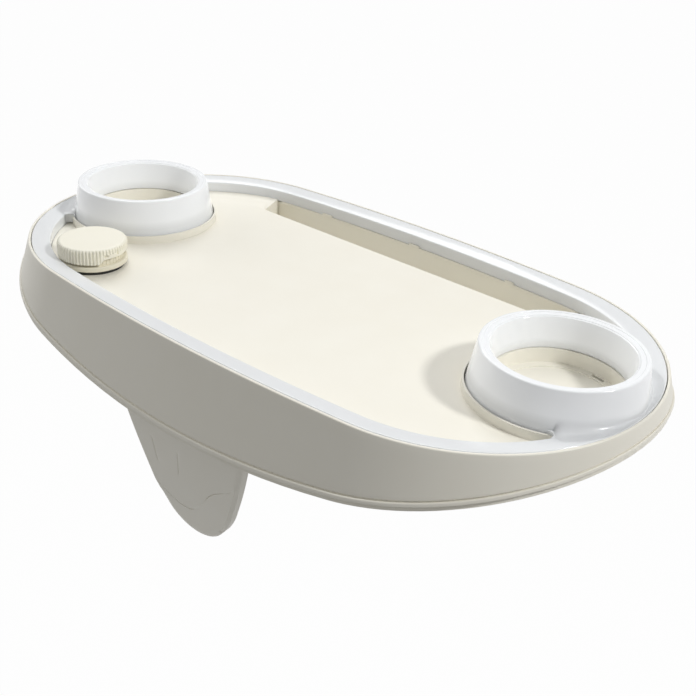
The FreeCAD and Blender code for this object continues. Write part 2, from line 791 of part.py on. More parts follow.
def battery_cap():
    skirt_inner = cap_radius - cap_wall
    shape = turned([
        (0, cap_top, 0),
        (cap_radius, cap_top, cap_round),
        (cap_radius, cap_edge, -0.3),
        (skirt_inner, cap_edge, 0),
        (skirt_inner, cap_top - cap_wall, -0.5),
        (0, cap_top - cap_wall, 0),
    ], cap_x, cap_y)
    star = []
    for i in range(4 * cap_ribs):
        radius = cap_radius + (cap_rib_depth if i % 4 < 2 else -0.05)
        angle = math.radians((i + 0.5) * 90.0 / cap_ribs)
        star.append((cap_x + radius * math.cos(angle), cap_y + radius * math.sin(angle), 0))
    ribs = plan_prism(star, cap_edge, cap_top - cap_round - 0.2)
    ribs = ribs.cut(disc(cap_radius - 0.6, cap_edge - 1, cap_top, cap_x, cap_y))
    plain = turned([
        (cap_radius, cap_edge - 1, 0),
        (cap_radius + 2, cap_edge - 1, 0),
        (cap_radius + 2, cap_top - cap_round - cap_rib_short, 0),
        (cap_radius, cap_top - cap_round - cap_rib_short, 0),
    ], cap_x, cap_y, cap_window_to - cap_window_from, cap_window_from)
    ribs = ribs.cut(plain)
    window = turned([
        (skirt_inner - 2, cap_edge - 1, 0),
        (cap_radius + 2, cap_edge - 1, 0),
        (cap_radius + 2, cap_window_edge, 0),
        (skirt_inner - 2, cap_window_edge, 0),
    ], cap_x, cap_y, cap_window_to - cap_window_from, cap_window_from)
    shape = shape.fuse(ribs).cut(window)
    lugs = []
    for angle in lug_angles:
        lugs.append(turned([
            (neck_radius + run_gap, cap_edge + 0.1, 0),
            (skirt_inner + 0.5, cap_edge + 0.1, 0),
            (skirt_inner + 0.5, lug_level - run_gap, 0),
            (neck_radius + run_gap, lug_level - run_gap, 0),
        ], cap_x, cap_y, lug_width, angle - lug_width / 2))
    return joined([shape] + lugs)


def cap_seal():
    """Flat-sided seal ring in the neck's groove."""
    inner = neck_radius - seal_groove
    outer = inner + 2 * seal_section - 0.1
    half = seal_section - 0.05
    return turned([
        (outer, seal_level + half, -0.6),
        (inner, seal_level + half, 0),
        (inner, seal_level - half, 0),
        (outer, seal_level - half, -0.6),
    ], cap_x, cap_y)


def cell_spots():
    spots = []
    for i in range(3):
        angle = math.radians(90 + 120 * i)
        spots.append((cap_x + cell_ring * math.cos(angle), cap_y + cell_ring * math.sin(angle)))
    return spots


def cell(i):
    x, y = cell_spots()[i]
    low = cage_floor + seat_gap + cage_plate + contact_thickness + spring_height
    body = disc(cell_radius, low, low + cell_length, x, y)
    pip = disc(cell_pip_radius, low + cell_length - 0.1, low + cell_length + cell_pip_height, x, y)
    return body.fuse(pip)


def cell_cage():
    low = cage_floor + seat_gap
    high = cage_high
    plates = [
        disc(cage_radius, low, low + cage_plate, cap_x, cap_y),
        disc(cage_radius, high - cage_plate, high, cap_x, cap_y),
        disc(1.0, low, high, cap_x, cap_y),
    ]
    for i in range(3):
        angle = math.radians(30 + 120 * i)
        reach = cage_radius - cage_post_radius - 0.7
        x = cap_x + reach * math.cos(angle)
        y = cap_y + reach * math.sin(angle)
        plates.append(disc(cage_post_radius, low, high, x, y))
    return joined(plates)


def cage_contacts():
    low = cage_floor + seat_gap + cage_plate
    parts = []
    for x, y in cell_spots():
        foot = v(x, y, at(low + contact_thickness))
        spring = Part.makeCone(spring_radius, spring_tip_radius, spring_height, foot)
        parts.append(disc(contact_radius, low, low + contact_thickness, x, y).fuse(spring))
        top = cage_high - cage_plate
        parts.append(disc(contact_radius, top - contact_thickness, top, x, y))
    return Part.makeCompound(parts)


def led_spots():
    """Places along the band's channel: x, y and direction in degrees."""
    inset = (strip_outer + strip_inner) / 2
    half_turn = math.degrees(math.atan2(side_y, end_x))
    spots = []
    reach = end_radius - inset
    count = max(1, int(math.radians(2 * half_turn) * reach / led_pitch))
    for side in (-1, 1):
        for i in range(count):
            angle = -half_turn + (i + 0.5) * 2 * half_turn / count
            a = math.radians(angle)
            x = side * (end_x + reach * math.cos(a))
            spots.append((x, reach * math.sin(a), 90 + side * angle))
    reach = side_radius - inset
    half_side = math.degrees(math.atan2(end_x, side_y))
    count = max(1, int(math.radians(2 * half_side) * reach / led_pitch))
    for side in (-1, 1):
        for i in range(count):
            angle = -half_side + (i + 0.5) * 2 * half_side / count
            a = math.radians(angle)
            y = side * (reach * math.cos(a) - side_y)
            spots.append((reach * math.sin(a), y, -side * angle))
    return spots


def led_strip():
    low = channel_floor
    high = channel_floor + strip_thickness
    return oval_sweep([
        (strip_outer, high, 0),
        (strip_outer, low, 0),
        (strip_inner, low, 0),
        (strip_inner, high, 0),
    ])


def led_chip(x, y, degrees, base):
    chip = box(-led_length / 2, led_length / 2, -led_width / 2, led_width / 2, base, base + led_height)
    chip.rotate(v(0, 0), Z, degrees)
    chip.translate(v(x, y))
    return chip


def band_leds():
    base = channel_floor + strip_thickness
    return Part.makeCompound([led_chip(x, y, turn, base) for x, y, turn in led_spots()])


def ring_gap():
    """Half angle over which a ring's strip stops short of the band's strip."""
    return 75.0


def ring_strip(side):
    turn = ring_gap()
    start = turn if side > 0 else 180 + turn
    return turned([
        (ring_strip_inner, channel_floor, 0),
        (ring_strip_outer, channel_floor, 0),
        (ring_strip_outer, channel_floor + strip_thickness, 0),
        (ring_strip_inner, channel_floor + strip_thickness, 0),
    ], side * ring_x, 0, 360 - 2 * turn, start)


def ring_leds(side):
    base = channel_floor + strip_thickness
    middle = (ring_strip_inner + ring_strip_outer) / 2
    turn = ring_gap()
    chips = []
    for i in range(ring_led_count):
        angle = turn + (i + 0.5) * (360 - 2 * turn) / ring_led_count
        a = math.radians(angle)
        x = side * (ring_x + middle * math.cos(a))
        chips.append(led_chip(x, middle * math.sin(a), 90 + side * angle, base))
    return Part.makeCompound(chips)


def control_board():
    top = deck_level - deck_thickness - post_height
    low = top - board_thickness
    board = box(board_x - board_length / 2, board_x + board_length / 2,
                board_y - board_width / 2, board_y + board_width / 2, low, top)
    for x in (-1, 1):
        board = board.cut(disc(1.3, low - 1, top + 1, board_x + x * (board_length / 2 - 4), board_y))
    parts = [
        board,
        box(board_x - 6, board_x + 4, board_y - 5, board_y + 5, low - 1.8, low + 0.1),
        box(board_x + 7, board_x + 13, board_y - 9, board_y - 4, low - 4.5, low + 0.1),
        box(board_x - 14, board_x - 9, board_y + 4, board_y + 10, low - 5.5, low + 0.1),
        box(board_x - 3, board_x + 12, board_y + 7, board_y + 11, low - 4.0, low + 0.1),
    ]
    return joined(parts)


def save(name, shape):
    shape.exportStep(os.path.join("parts", name + ".step"))


# levels inside the battery case, counted down from the cap
seal_level = neck_top - 2.2
lug_radius = cap_radius - cap_wall - run_gap
barrel_radius = cap_radius - cap_wall - run_gap - tick_proud
cage_high = cap_top - cap_wall - run_gap
cage_floor = cage_high - seat_gap - 2 * (cage_plate + contact_thickness) - spring_height - cell_length \
    - cell_pip_height

parts = {
    "upper_shell": upper_shell(),
    "light_guide": light_guide(),
    "bottom_cover": bottom_cover(),
    "front_leg": leg(-1),
    "rear_leg": leg(1),
    "cover_screws": Part.makeCompound([
        screw(x, y, seat_under(x, cover_bottom) + 1.2 - seat_gap, screw_length)
        for x, y in cover_bosses()]),
    "front_leg_screws": Part.makeCompound([
        screw(x, y, seat_under(x, cover_bottom + leg_flange_thickness) + 0.8 - seat_gap, screw_length + 3)
        for x, y in leg_screw_spots() if y < 0]),
    "rear_leg_screws": Part.makeCompound([
        screw(x, y, seat_under(x, cover_bottom + leg_flange_thickness) + 0.8 - seat_gap, screw_length + 3)
        for x, y in leg_screw_spots() if y > 0]),
    "battery_case": battery_case(),
    "case_seal": tube(case_seal_radius, neck_radius + 0.1, deck_level, flange_foot, cap_x, cap_y),
    "case_nut": tube(nut_radius, neck_radius + 0.1, deck_level - deck_thickness - nut_height,
                     deck_level - deck_thickness, cap_x, cap_y),
    "battery_cap": battery_cap(),
    "cap_seal": cap_seal(),
    "cell_cage": cell_cage(),
    "cage_contacts": cage_contacts(),
    "led_strip": led_strip(),
    "band_leds": band_leds(),
    "left_ring_strip": ring_strip(-1),
    "right_ring_strip": ring_strip(1),
    "left_ring_leds": ring_leds(-1),
    "right_ring_leds": ring_leds(1),
    "control_board": control_board(),
}
for i in range(3):
    parts["cell_%d" % (i + 1)] = cell(i)

os.makedirs("parts", exist_ok=True)
for name, shape in parts.items():
    save(name, shape)
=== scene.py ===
import math

import bmesh
import bpy
import numpy as np
from mathutils import Matrix, Vector


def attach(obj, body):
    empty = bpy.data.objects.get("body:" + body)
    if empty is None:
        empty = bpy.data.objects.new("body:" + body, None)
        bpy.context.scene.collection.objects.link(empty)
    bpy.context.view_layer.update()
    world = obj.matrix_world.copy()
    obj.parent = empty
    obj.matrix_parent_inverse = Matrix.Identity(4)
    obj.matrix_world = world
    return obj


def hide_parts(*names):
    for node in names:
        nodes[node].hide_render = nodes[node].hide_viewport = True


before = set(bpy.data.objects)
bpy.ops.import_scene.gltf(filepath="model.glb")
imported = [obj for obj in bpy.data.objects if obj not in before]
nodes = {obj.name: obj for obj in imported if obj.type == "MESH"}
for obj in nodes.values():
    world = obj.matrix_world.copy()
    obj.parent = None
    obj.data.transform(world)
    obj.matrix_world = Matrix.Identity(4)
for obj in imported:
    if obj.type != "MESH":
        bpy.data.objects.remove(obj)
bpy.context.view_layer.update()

# Sizes are in millimetres. A level is counted upwards from the plane of the rim, an inset inwards
# from the rim's outline, and a depth downwards from the rim at the tray's middle.
RIM = 58.1
HALF_LENGTH = 260.5
HALF_WIDTH = 139.0
END_RADIUS = 133.3
END_X = HALF_LENGTH - END_RADIUS
SIDE_RADIUS = (END_X ** 2 + HALF_WIDTH ** 2 - END_RADIUS ** 2) / (2 * (HALF_WIDTH - END_RADIUS))
SIDE_Y = SIDE_RADIUS - HALF_WIDTH
END_TURN = math.atan2(SIDE_Y, END_X)
END_STEPS = 200
SIDE_STEPS = 110

# the lip, the leaning skirt, and the groove and bead along its bowed foot
FLARE = 0.29
ARCH_DEPTH = 53.0
ARCH_END_DEPTH = 11.6
ARCH_RISE = ARCH_DEPTH - ARCH_END_DEPTH
ARCH_RADIUS = (ARCH_RISE ** 2 + HALF_LENGTH ** 2) / (2 * ARCH_RISE)
FLAT_DEPTH = 9.0
BOWED_DEPTH = 52.0
LIP_WIDTH = 1.7
LEDGE_DEPTH = 8.5
SKIRT_WALL = 1.7
GROOVE_TOP = 51.5
GROOVE_INSET = 1.1
BEAD_TOP = 52.8
BEAD_PROUD = 0.8
SKIRT_FOOT = 55.4

# the light guide's band and rings
BAND_OUTER = 2.25
BAND_INNER = 16.3
BAND_FALL = 2.1
BAND_FOOT = -11.2
BAND_OUTER_FOOT = -9.0
BAND_WALL = 2.2
RING_X = 199.6
RING_RISE = 22.3
RING_LIP_OUTER = 52.2
RING_LIP_INNER = 45.0
RING_FOOT = 57.9
RING_FOOT_LEVEL = -10.0
RING_THROAT = 42.9
RING_THROAT_LEVEL = -0.9
RING_FLARE_HEIGHT = 4.5
RING_WALL = 2.3
RING_DRAFT = (RING_FOOT - RING_LIP_OUTER) / (RING_RISE - RING_FOOT_LEVEL)
RING_STEPS = 180
ROOT_REACH = 12.5
ROOT_FADE = 6
WEB_TOP = -2.05
OVERLAP = 0.8

# the slot's rail and its clip tabs, and what changes on the moulded shell
RAIL_HALF = 152
TAB_PLACES = (-99.0, -6.7, 87.5)
TAB_HALF = 7
SLOT_END_REACH = 10.0
SKIN_NEAR = 0.75
SKIN_TUCK = 1.4
LIP_TUCK = 8.0
COLLAR_TOP = -6.4
COLLAR_FOOT = -10.4
COLLAR_LIFT = 2.2
COLLAR_SLIM = ((58.0, 58.0), (58.3, 58.3), (59.85, 59.0), (61.25, 59.4), (61.6, 59.8))

# a leg's tongue and flange
LEG_FRONT = 138.0
LEG_ROOT = -59.6
LEG_ROOT_DEPTH = 57.0
LEG_LEAN = math.radians(7.0)
LEG_DEPTH = 8.5
LEG_WALL = 4.2
LEG_SPINE = (-126.0, -76.0)
LEG_HALF_ROOT = 64.0
LEG_SHOULDER = (42.0, -124.0)
LEG_TOE = (24.5, -152.5)
LEG_TIP = -162.5
LEG_EDGE = 2.2
LEG_POINTS = 480
LEG_RIBS = ((-24, -146), (0, -157), (24, -146))
FLANGE_INNER = 107.0
FLANGE_TOP = 58.15
FLANGE_FOOT = 61.1

# The fold across the tongue, as places that it passes. The step down from the panel above it, and
# the strength and depth of the line along it, are given at distances across the tongue.
FOLD_PLACES = (
    (-45, -124), (-37.6, -130.5), (-30.3, -134.5), (-21, -138.7), (-11.5, -141.2), (-0.6, -140.6),
    (6.8, -135.5), (14.9, -126), (21.7, -116), (28.7, -109.3), (46.1, -98.5), (56, -88),
    (63.3, -78.7), (72, -62),
)
FOLD_STEP = (
    (-36, 0.0), (-31, 0.3), (-12, 0.3), (6, 0.7), (16, 0.15), (34, 0.3), (46, 0.4), (50, 0.0),
)
FOLD_LINE = (
    (-36, 0.0), (-33, 1), (-4, 1), (4, 0.3), (14, 0.1), (20, 1), (34, 1), (40, 0.2), (46, 0.7),
    (50, 0.0),
)
FOLD_LINE_DEPTH = ((-8, 2.6), (5, 0.6))
FOLD_LINE_HALF = 0.45
FOLD_STEP_HALF = 1.0
CREASES = (((-32.7, -88.6), (-29.6, -111.5)), ((-5.4, -89.5), (-7.8, -113.4)))
CREASE_DEPTH = 0.6
CREASE_HALF = 0.5
CREASE_FADE = 0.12
CREASE_PLACES = (6.6, 31.2)
CREASE_ROWS_HALF = 1.6

# the battery cap; the window's and the pockets' places round it are in degrees
CAP_X = -151.0
CAP_Y = -88.2
CAP_RADIUS = 25.2
CAP_TOP = 9.7
CAP_WALL = 2.4
CAP_ROUND = 2.2
CAP_FOOT_ROUND = 0.3
CAP_EDGE = -1.8
CAP_WINDOW_EDGE = 1.7
CAP_WINDOW = (-27.0, 59.0)
CAP_WINDOW_SLOPES = (11, 1.2)
CAP_RIBS = 64
CAP_RIB_STEPS = 16
CAP_SHORT_RIB = 2.6
CAP_SIDE_ROWS = 32
CAP_POCKETS = ((9.5, 4.6, 0.85, 1.5), (-13.0, 3.9, 1.6, 0.9))
CAP_POCKET_DEPTH = 2.1


# ---- shapes ----

def rounded(corners, steps=5):
    """Closed outline through corners of (a, b, radius).

    Each corner with a radius becomes an arc tangent to both sides: the arc's centre lies on the
    corner's bisector, at radius / sin(half the corner's angle), and the arc is cut into equal
    steps.
    """
    points = []
    for i, (a, b, radius) in enumerate(corners):
        corner = np.array([a, b], float)
        if radius == 0:
            points.append(corner[None])
            continue
        before = np.array(corners[i - 1][:2], float) - corner
        after = np.array(corners[(i + 1) % len(corners)][:2], float) - corner
        before /= np.linalg.norm(before)
        after /= np.linalg.norm(after)
        half = math.acos(np.clip(before @ after, -1, 1)) / 2
        bisector = before + after
        bisector /= np.linalg.norm(bisector)
        centre = corner + bisector * radius / math.sin(half)
        reach = radius / math.tan(half)
        first = corner + before * reach - centre
        last = corner + after * reach - centre
        turn = math.atan2(first[0] * last[1] - first[1] * last[0], first @ last)
        t = np.linspace(0, turn, steps + 1)[:, None]
        across = np.array([-first[1], first[0]])
        points.append(centre + np.cos(t) * first + np.sin(t) * across)
    return np.concatenate(points)


def refined(outline, longest):
    """A closed outline with its long sides cut into equal lengths."""
    pieces = []
    for a, b in zip(outline, np.roll(outline, -1, 0)):
        parts = max(1, math.ceil(np.linalg.norm(b - a) / longest))
        share = np.arange(parts)[:, None] / parts
        pieces.append(a + (b - a) * share)
    return np.concatenate(pieces)


def lengths_along(points):
    """Length of the line through the points, from the first to each of them."""
    return np.concatenate([[0], np.cumsum(np.linalg.norm(np.diff(points, axis=0), axis=1))])


def points_at(lengths, points):
    """Places on the line through the points, at lengths along it."""
    along = lengths_along(points)
    return np.stack([np.interp(lengths, along, points[:, k]) for k in (0, 1)], -1)


def on_lines(x, pairs):
    """Value at x on straight lines through pairs of (x, value)."""
    at, value = np.array(pairs, float).T
    return np.interp(x, at, value)


def oval_frames():
    """Direction, arc centre and arc radius of points round the tray's outline.

    The outline is two end arcs and two side arcs that run tangent into each other, so a point is
    its arc's centre plus the arc's radius along the outward normal, and an offset only changes the
    radius.
    """
    spans = [
        (-END_TURN, END_TURN, END_STEPS, END_X, 0.0, END_RADIUS),
        (END_TURN, math.pi - END_TURN, SIDE_STEPS, 0.0, -SIDE_Y, SIDE_RADIUS),
        (math.pi - END_TURN, math.pi + END_TURN, END_STEPS, -END_X, 0.0, END_RADIUS),
        (math.pi + END_TURN, 2 * math.pi - END_TURN, SIDE_STEPS, 0.0, SIDE_Y, SIDE_RADIUS),
    ]
    rows = []
    for start, end, steps, x, y, radius in spans:
        angle = np.linspace(start, end, steps, endpoint=False)
        rows.append(np.stack([angle] + [np.full(steps, value) for value in (x, y, radius)]))
    return np.concatenate(rows, axis=1)


def carried_round(profile):
    """An (inset, level) profile carried round the outline: rows of outline places."""
    angle, x, y, radius = oval_frames()[:, :, None]
    inset, level = profile.T[:, None, :]
    reach = radius - inset
    return np.stack([x + reach * np.cos(angle), y + reach * np.sin(angle), level + 0 * reach], -1)


def turned(profile, x):
    """A (radius, level) profile turned about the upright axis through x."""
    angle = np.linspace(0, 2 * math.pi, RING_STEPS, endpoint=False)[:, None]
    radius, level = profile.T[:, None, :]
    return np.stack([x + radius * np.cos(angle), radius * np.sin(angle), level + 0 * angle], -1)


def bowed_level(x, depth):
    """Level of the bowed underside, and of what runs along it, at a distance x from the middle.

    The underside is a circle about an axis high above the tray, and depth is its place under the
    rim at the middle: level = axis - sqrt(radius squared - x squared).
    """
    radius = ARCH_RADIUS + depth - ARCH_DEPTH
    return ARCH_RADIUS - ARCH_DEPTH - np.sqrt(radius ** 2 - x ** 2)


def skirted(profile):
    """A (proud, depth) profile carried round the outline along the leaning, bowed skirt.

    Down to the flat depth a point keeps its level. Below it the levels stretch, so that all from
    the bowed depth down runs parallel to the underside. A point stands out from the rim's outline
    by proud plus the flare times how far it lies under the rim, and as its level depends on where
    it stands, both are found by a few rounds of substitution.
    """
    angle, x, y, radius = oval_frames()[:, :, None]
    proud, depth = profile.T[:, None, :]
    share = np.clip((depth - FLAT_DEPTH) / (BOWED_DEPTH - FLAT_DEPTH), 0, 1)
    level = -depth + 0 * radius
    for _ in range(8):
        out = radius + proud - FLARE * level
        low = bowed_level(x + out * np.cos(angle), np.maximum(depth, BOWED_DEPTH))
        level = np.where(depth < FLAT_DEPTH, -depth, low * share - FLAT_DEPTH * (1 - share))
    return np.stack([x + out * np.cos(angle), y + out * np.sin(angle), level], -1)


def dressed(mesh, name, body, material, sharp):
    """Piece made of a mesh: smooth between its sharp edges, with its finish and body."""
    mesh.materials.clear()
    mesh.materials.append(material)
    mesh.polygons.foreach_set("use_smooth", np.ones(len(mesh.polygons), bool))
    mesh.set_sharp_from_angle(angle=math.radians(sharp))
    piece = bpy.data.objects.new(name, mesh)
    bpy.context.scene.collection.objects.link(piece)
    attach(piece, body)
    return piece


def surface(name, grids, body, material, sharp):
    """Closed piece made of grids of points in millimetres and levels.

    A grid's faces join each point to the next along both directions, and it is closed both ways.
    One that comes with "open ends" isn't closed along its first direction, and one with "poles"
    isn't along its second: there the rows shrink to a point or to a line that both sides share. A
    grid whose signed volume is negative is turned over.
    """
    points = []
    faces = []
    count = 0
    for grid in grids:
        kind = ""
        if isinstance(grid, tuple):
            grid, kind = grid
        n, m = grid.shape[:2]
        index = np.arange(n * m).reshape(n, m)
        ahead = np.roll(index, -1, 0)
        quads = np.stack([index, ahead, np.roll(ahead, -1, 1), np.roll(index, -1, 1)], -1)
        if kind == "open ends":
            quads = quads[:-1]
        if kind == "poles":
            quads = quads[:, :-1]
        quads = quads.reshape(-1, 4)
        flat = grid.reshape(-1, 3)
        a, b, c, d = (flat[quads[:, k]] for k in range(4))
        volume = np.einsum("ij,ij->", a, np.cross(b, c) + np.cross(c, d))
        if volume < 0:
            quads = quads[:, ::-1]
        points.append(flat)
        faces.append(quads + count)
        count += len(flat)
    points = (np.concatenate(points) + [0, 0, RIM]) * 0.001
    faces = np.concatenate(faces)
    mesh = bpy.data.meshes.new(name)
    mesh.from_pydata(points.tolist(), [], faces.tolist())
    work = bmesh.new()
    work.from_mesh(mesh)
    bmesh.ops.remove_doubles(work, verts=work.verts, dist=1e-7)
    work.to_mesh(mesh)
    work.free()
    mesh.validate()
    return dressed(mesh, name, body, material, sharp)


def eased(node, name, width, material):
    """A moulded piece with its triangles joined into flat faces and its edges slightly rounded."""
    sharp = 30.0
    flat = math.radians(0.4)
    mesh = nodes[node].data.copy()
    mesh.name = name
    work = bmesh.new()
    work.from_mesh(mesh)
    bmesh.ops.remove_doubles(work, verts=work.verts, dist=2e-6)
    bmesh.ops.dissolve_limit(work, angle_limit=flat, verts=work.verts, edges=work.edges)
    work.to_mesh(mesh)
    work.free()
    piece = dressed(mesh, name, "tray", material, sharp)
    edge = piece.modifiers.new("Edge", "BEVEL")
    edge.width = width * 0.001
    edge.segments = 2
    edge.limit_method = "ANGLE"
    edge.angle_limit = math.radians(sharp)
    edge.use_clamp_overlap = True
    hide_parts(node)
    return piece


# ---- band and rings ----

def band_profile():
    """Section of the band: a channel open at its foot, whose top falls towards the deck."""
    return rounded([
        (BAND_OUTER, 0.0, 0.9),
        (BAND_OUTER, BAND_OUTER_FOOT, 0),
        (BAND_OUTER + BAND_WALL, BAND_OUTER_FOOT, 0),
        (BAND_OUTER + BAND_WALL, -BAND_WALL - 0.4, 0),
        (BAND_INNER - BAND_WALL, -BAND_WALL - BAND_FALL + 0.3, 0),
        (BAND_INNER - BAND_WALL, BAND_FOOT, 0),
        (BAND_INNER, BAND_FOOT, 0),
        (BAND_INNER, -BAND_FALL, 1.2),
    ])


def ring_profile():
    """Section of a ring, counted from its axis.

    The outer wall leans in to the lip. The lip has a small step near its outer edge and a second
    one at the bore, which narrows in a hollow flare to the throat. The inner side repeats this at
    the wall's thickness.
    """
    top = RING_RISE
    under = RING_RISE - RING_WALL
    flare = RING_THROAT_LEVEL + RING_FLARE_HEIGHT
    return rounded([
        (RING_FOOT, RING_FOOT_LEVEL, 0),
        (RING_LIP_OUTER, top, 1.3),
        (RING_LIP_OUTER - 2.7, top, 0.35),
        (RING_LIP_OUTER - 3.1, top - 0.55, 0.25),
        (RING_LIP_INNER + 1.1, top - 0.7, 0.4),
        (RING_LIP_INNER + 0.9, top - 1.3, 0.2),
        (RING_LIP_INNER, top - 1.5, 0.6),
        (RING_THROAT, flare, 3.0),
        (RING_THROAT, RING_THROAT_LEVEL, 0.7),
        (RING_THROAT + RING_WALL, RING_THROAT_LEVEL, 0),
        (RING_THROAT + RING_WALL, flare, 0),
        (RING_LIP_INNER + RING_WALL + 0.2, under, 0),
        (RING_LIP_OUTER + 0.4 - RING_WALL, under, 0),
        (RING_FOOT - RING_WALL, RING_FOOT_LEVEL, 0),
    ], 8)


def to_end_arc(angle, inset):
    """Distance from a ring's axis, at an angle round it, to the line inset from the end arc."""
    apart = RING_X - END_X
    reach = END_RADIUS - inset
    return -apart * np.cos(angle) + np.sqrt(reach ** 2 - (apart * np.sin(angle)) ** 2)


def band_top(r, turn):
    """Level of the band's sloping top at a distance and an angle from a ring's axis."""
    inset = END_RADIUS - np.hypot(RING_X - END_X + r * np.cos(turn), r * np.sin(turn))
    return -BAND_FALL * np.clip((inset - BAND_OUTER) / (BAND_INNER - BAND_OUTER), 0, 1)


def ring_root(side, gap_angle):
    """Hollow corner that flares from a ring's wall down to the band's outer edge.

    At each angle its section is a curve of degree five from the leaning wall to the band's top.
    Its first and last three control points lie on those two lines, so that it leaves both without
    a bend. It reaches as far as the band leaves room for, up to the root's reach, and runs out
    over the last degrees before the gap beside the ring. The corner's level depends on its own
    place and is found by substitution.
    """
    angle = np.linspace(-gap_angle, gap_angle, 201)
    turn = np.radians(angle)
    wall = RING_LIP_OUTER + RING_DRAFT * RING_RISE
    room = to_end_arc(turn, BAND_OUTER) - OVERLAP - wall
    past = ((np.abs(angle) - gap_angle + ROOT_FADE) / ROOT_FADE).clip(0, 1)
    fade = np.sqrt(1 - past ** 2)
    reach = 1 / (1 / room ** 4 + 1 / ROOT_REACH ** 4) ** 0.25 * fade + 0.25

    corner = wall + 0 * turn
    for _ in range(4):
        corner = wall - RING_DRAFT * band_top(corner, turn)
    middle = np.stack([corner, band_top(corner, turn)], -1)
    upper = middle + reach[:, None] * [-RING_DRAFT, 1]
    lower = np.stack([corner + reach, band_top(corner + reach, turn)], -1)
    controls = []
    for line_end, shares in ((upper, (0.0, 0.45, 0.9)), (lower, (0.9, 0.45, 0.0))):
        controls += [line_end + (middle - line_end) * share for share in shares]
    t = np.linspace(0, 1, 21)
    weights = np.stack([math.comb(5, k) * t ** k * (1 - t) ** (5 - k) for k in range(6)])
    r, level = np.einsum("kt,kac->cat", weights, np.array(controls))
    low = level[:, -1:] - 1.4
    r = np.concatenate([r, r[:, -1:], (wall - 1.2) + 0 * low], 1)
    level = np.concatenate([level, low, low], 1)
    r[[0, -1]] = r[[0, -1]].mean(1, keepdims=True)
    level[[0, -1]] = level[[0, -1]].mean(1, keepdims=True)
    x = side * (RING_X + r * np.cos(turn)[:, None])
    return np.stack([x, r * np.sin(turn)[:, None], level], -1)


def bearing(p, q=(0.0, 0.0)):
    """Angle of the line from q to p."""
    return math.atan2(p[1] - q[1], p[0] - q[0])


def arc_points(centre, radius, first, last, share):
    """Points at shares of the way along an arc from one angle to another."""
    angle = first + (last - first) * share
    return centre + radius * np.stack([np.cos(angle), np.sin(angle)], -1)


def gap_end(side, mirror, radius):
    """Web with a hollow round end, which closes the gap between a ring's foot and the band.

    Its inner line is an arc of the given radius that touches both; its outer line runs along the
    ring to where the ring meets the band, and back along the band. Plan places are counted from
    the end arc's centre.
    """
    foot = RING_FOOT - 0.15
    edge = END_RADIUS - BAND_INNER
    apart = RING_X - END_X
    along = ((edge - radius) ** 2 - (foot + radius) ** 2 + apart ** 2) / (2 * apart)
    centre = np.array([along, math.sqrt((edge - radius) ** 2 - along ** 2)])
    meet = (edge ** 2 - foot ** 2 + apart ** 2) / (2 * apart)
    tip = np.array([meet, math.sqrt(edge ** 2 - meet ** 2)])
    ring_middle = np.array([apart, 0.0])
    on_ring = ring_middle + (centre - ring_middle) * foot / (foot + radius)
    on_band = centre * edge / (edge - radius)

    share = np.linspace(0, 1, 25)
    first = bearing(on_ring, centre)
    sweep = (bearing(on_band, centre) - first) % (2 * math.pi)
    if (bearing(tip, centre) - first) % (2 * math.pi) > sweep:
        sweep -= 2 * math.pi
    inner = arc_points(centre, radius, first, first + sweep, share)
    ring_line = arc_points(ring_middle, foot - OVERLAP, bearing(on_ring, ring_middle),
                           bearing(tip, ring_middle), share[share <= 0.5] * 2)
    band_line = arc_points(np.zeros(2), edge + OVERLAP, bearing(tip), bearing(on_band),
                           (share[share > 0.5] - 0.5) * 2)
    outer = np.concatenate([ring_line, band_line])
    foot_level = RING_FOOT_LEVEL + 0.6
    section = np.array([(0, foot_level), (1, foot_level), (1, WEB_TOP), (0, WEB_TOP)])
    across = section[:, 0][None, :, None]
    plan = inner[:, None] * (1 - across) + outer[:, None] * across
    level = np.broadcast_to(section[:, 1][None, :, None], plan.shape[:2] + (1,))
    grid = np.concatenate([plan, level], -1)
    grid[[0, -1]] = grid[[0, -1]].mean(1, keepdims=True)
    return (grid * [1, mirror, 1] + [END_X, 0, 0]) * [side, 1, 1]


def light_guide(material):
    """Band, both rings, their flared roots and the round-ended webs, as one moulding."""
    grids = [carried_round(band_profile())]
    for side, radius, gap_angle in ((1, 4.0, 62.0), (-1, 4.5, 63.5)):
        grids.append(turned(ring_profile(), side * RING_X))
        grids.append((ring_root(side, gap_angle), "open ends"))
        grids += [(gap_end(side, mirror, radius), "open ends") for mirror in (1, -1)]
    piece = surface("light_band_and_rings", grids, "tray", material, 35)
    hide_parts("light_guide")
    return piece


# ---- tray ----

def rear_strip(profile, low, high):
    """Piece of a profile carried along the rear outline between two places along the tray.

    Its end rows shrink to a point.
    """
    grid = carried_round(profile)
    middle = grid[:, 0]
    strip = grid[(middle[:, 1] > 0) & (middle[:, 0] > low) & (middle[:, 0] < high)]
    strip[[0, -1]] = strip[[0, -1]].mean(1, keepdims=True)
    return strip, "open ends"


def slot_trim():
    """Small rail that closes the slot's far wall up to the band, and the three clip tabs on it."""
    rail = rounded([(14.6, -13.2, 0), (14.6, -11.3, 0), (17.3, -11.3, 0.45), (17.3, -13.2, 0.3)], 4)
    tab = rounded([(15.5, -11.8, 0), (15.5, -9.6, 0), (17.5, -9.6, 0.4), (17.5, -11.8, 0)], 4)
    tabs = [rear_strip(tab, x - TAB_HALF, x + TAB_HALF) for x in TAB_PLACES]
    return [rear_strip(rail, -RAIL_HALF, RAIL_HALF)] + tabs


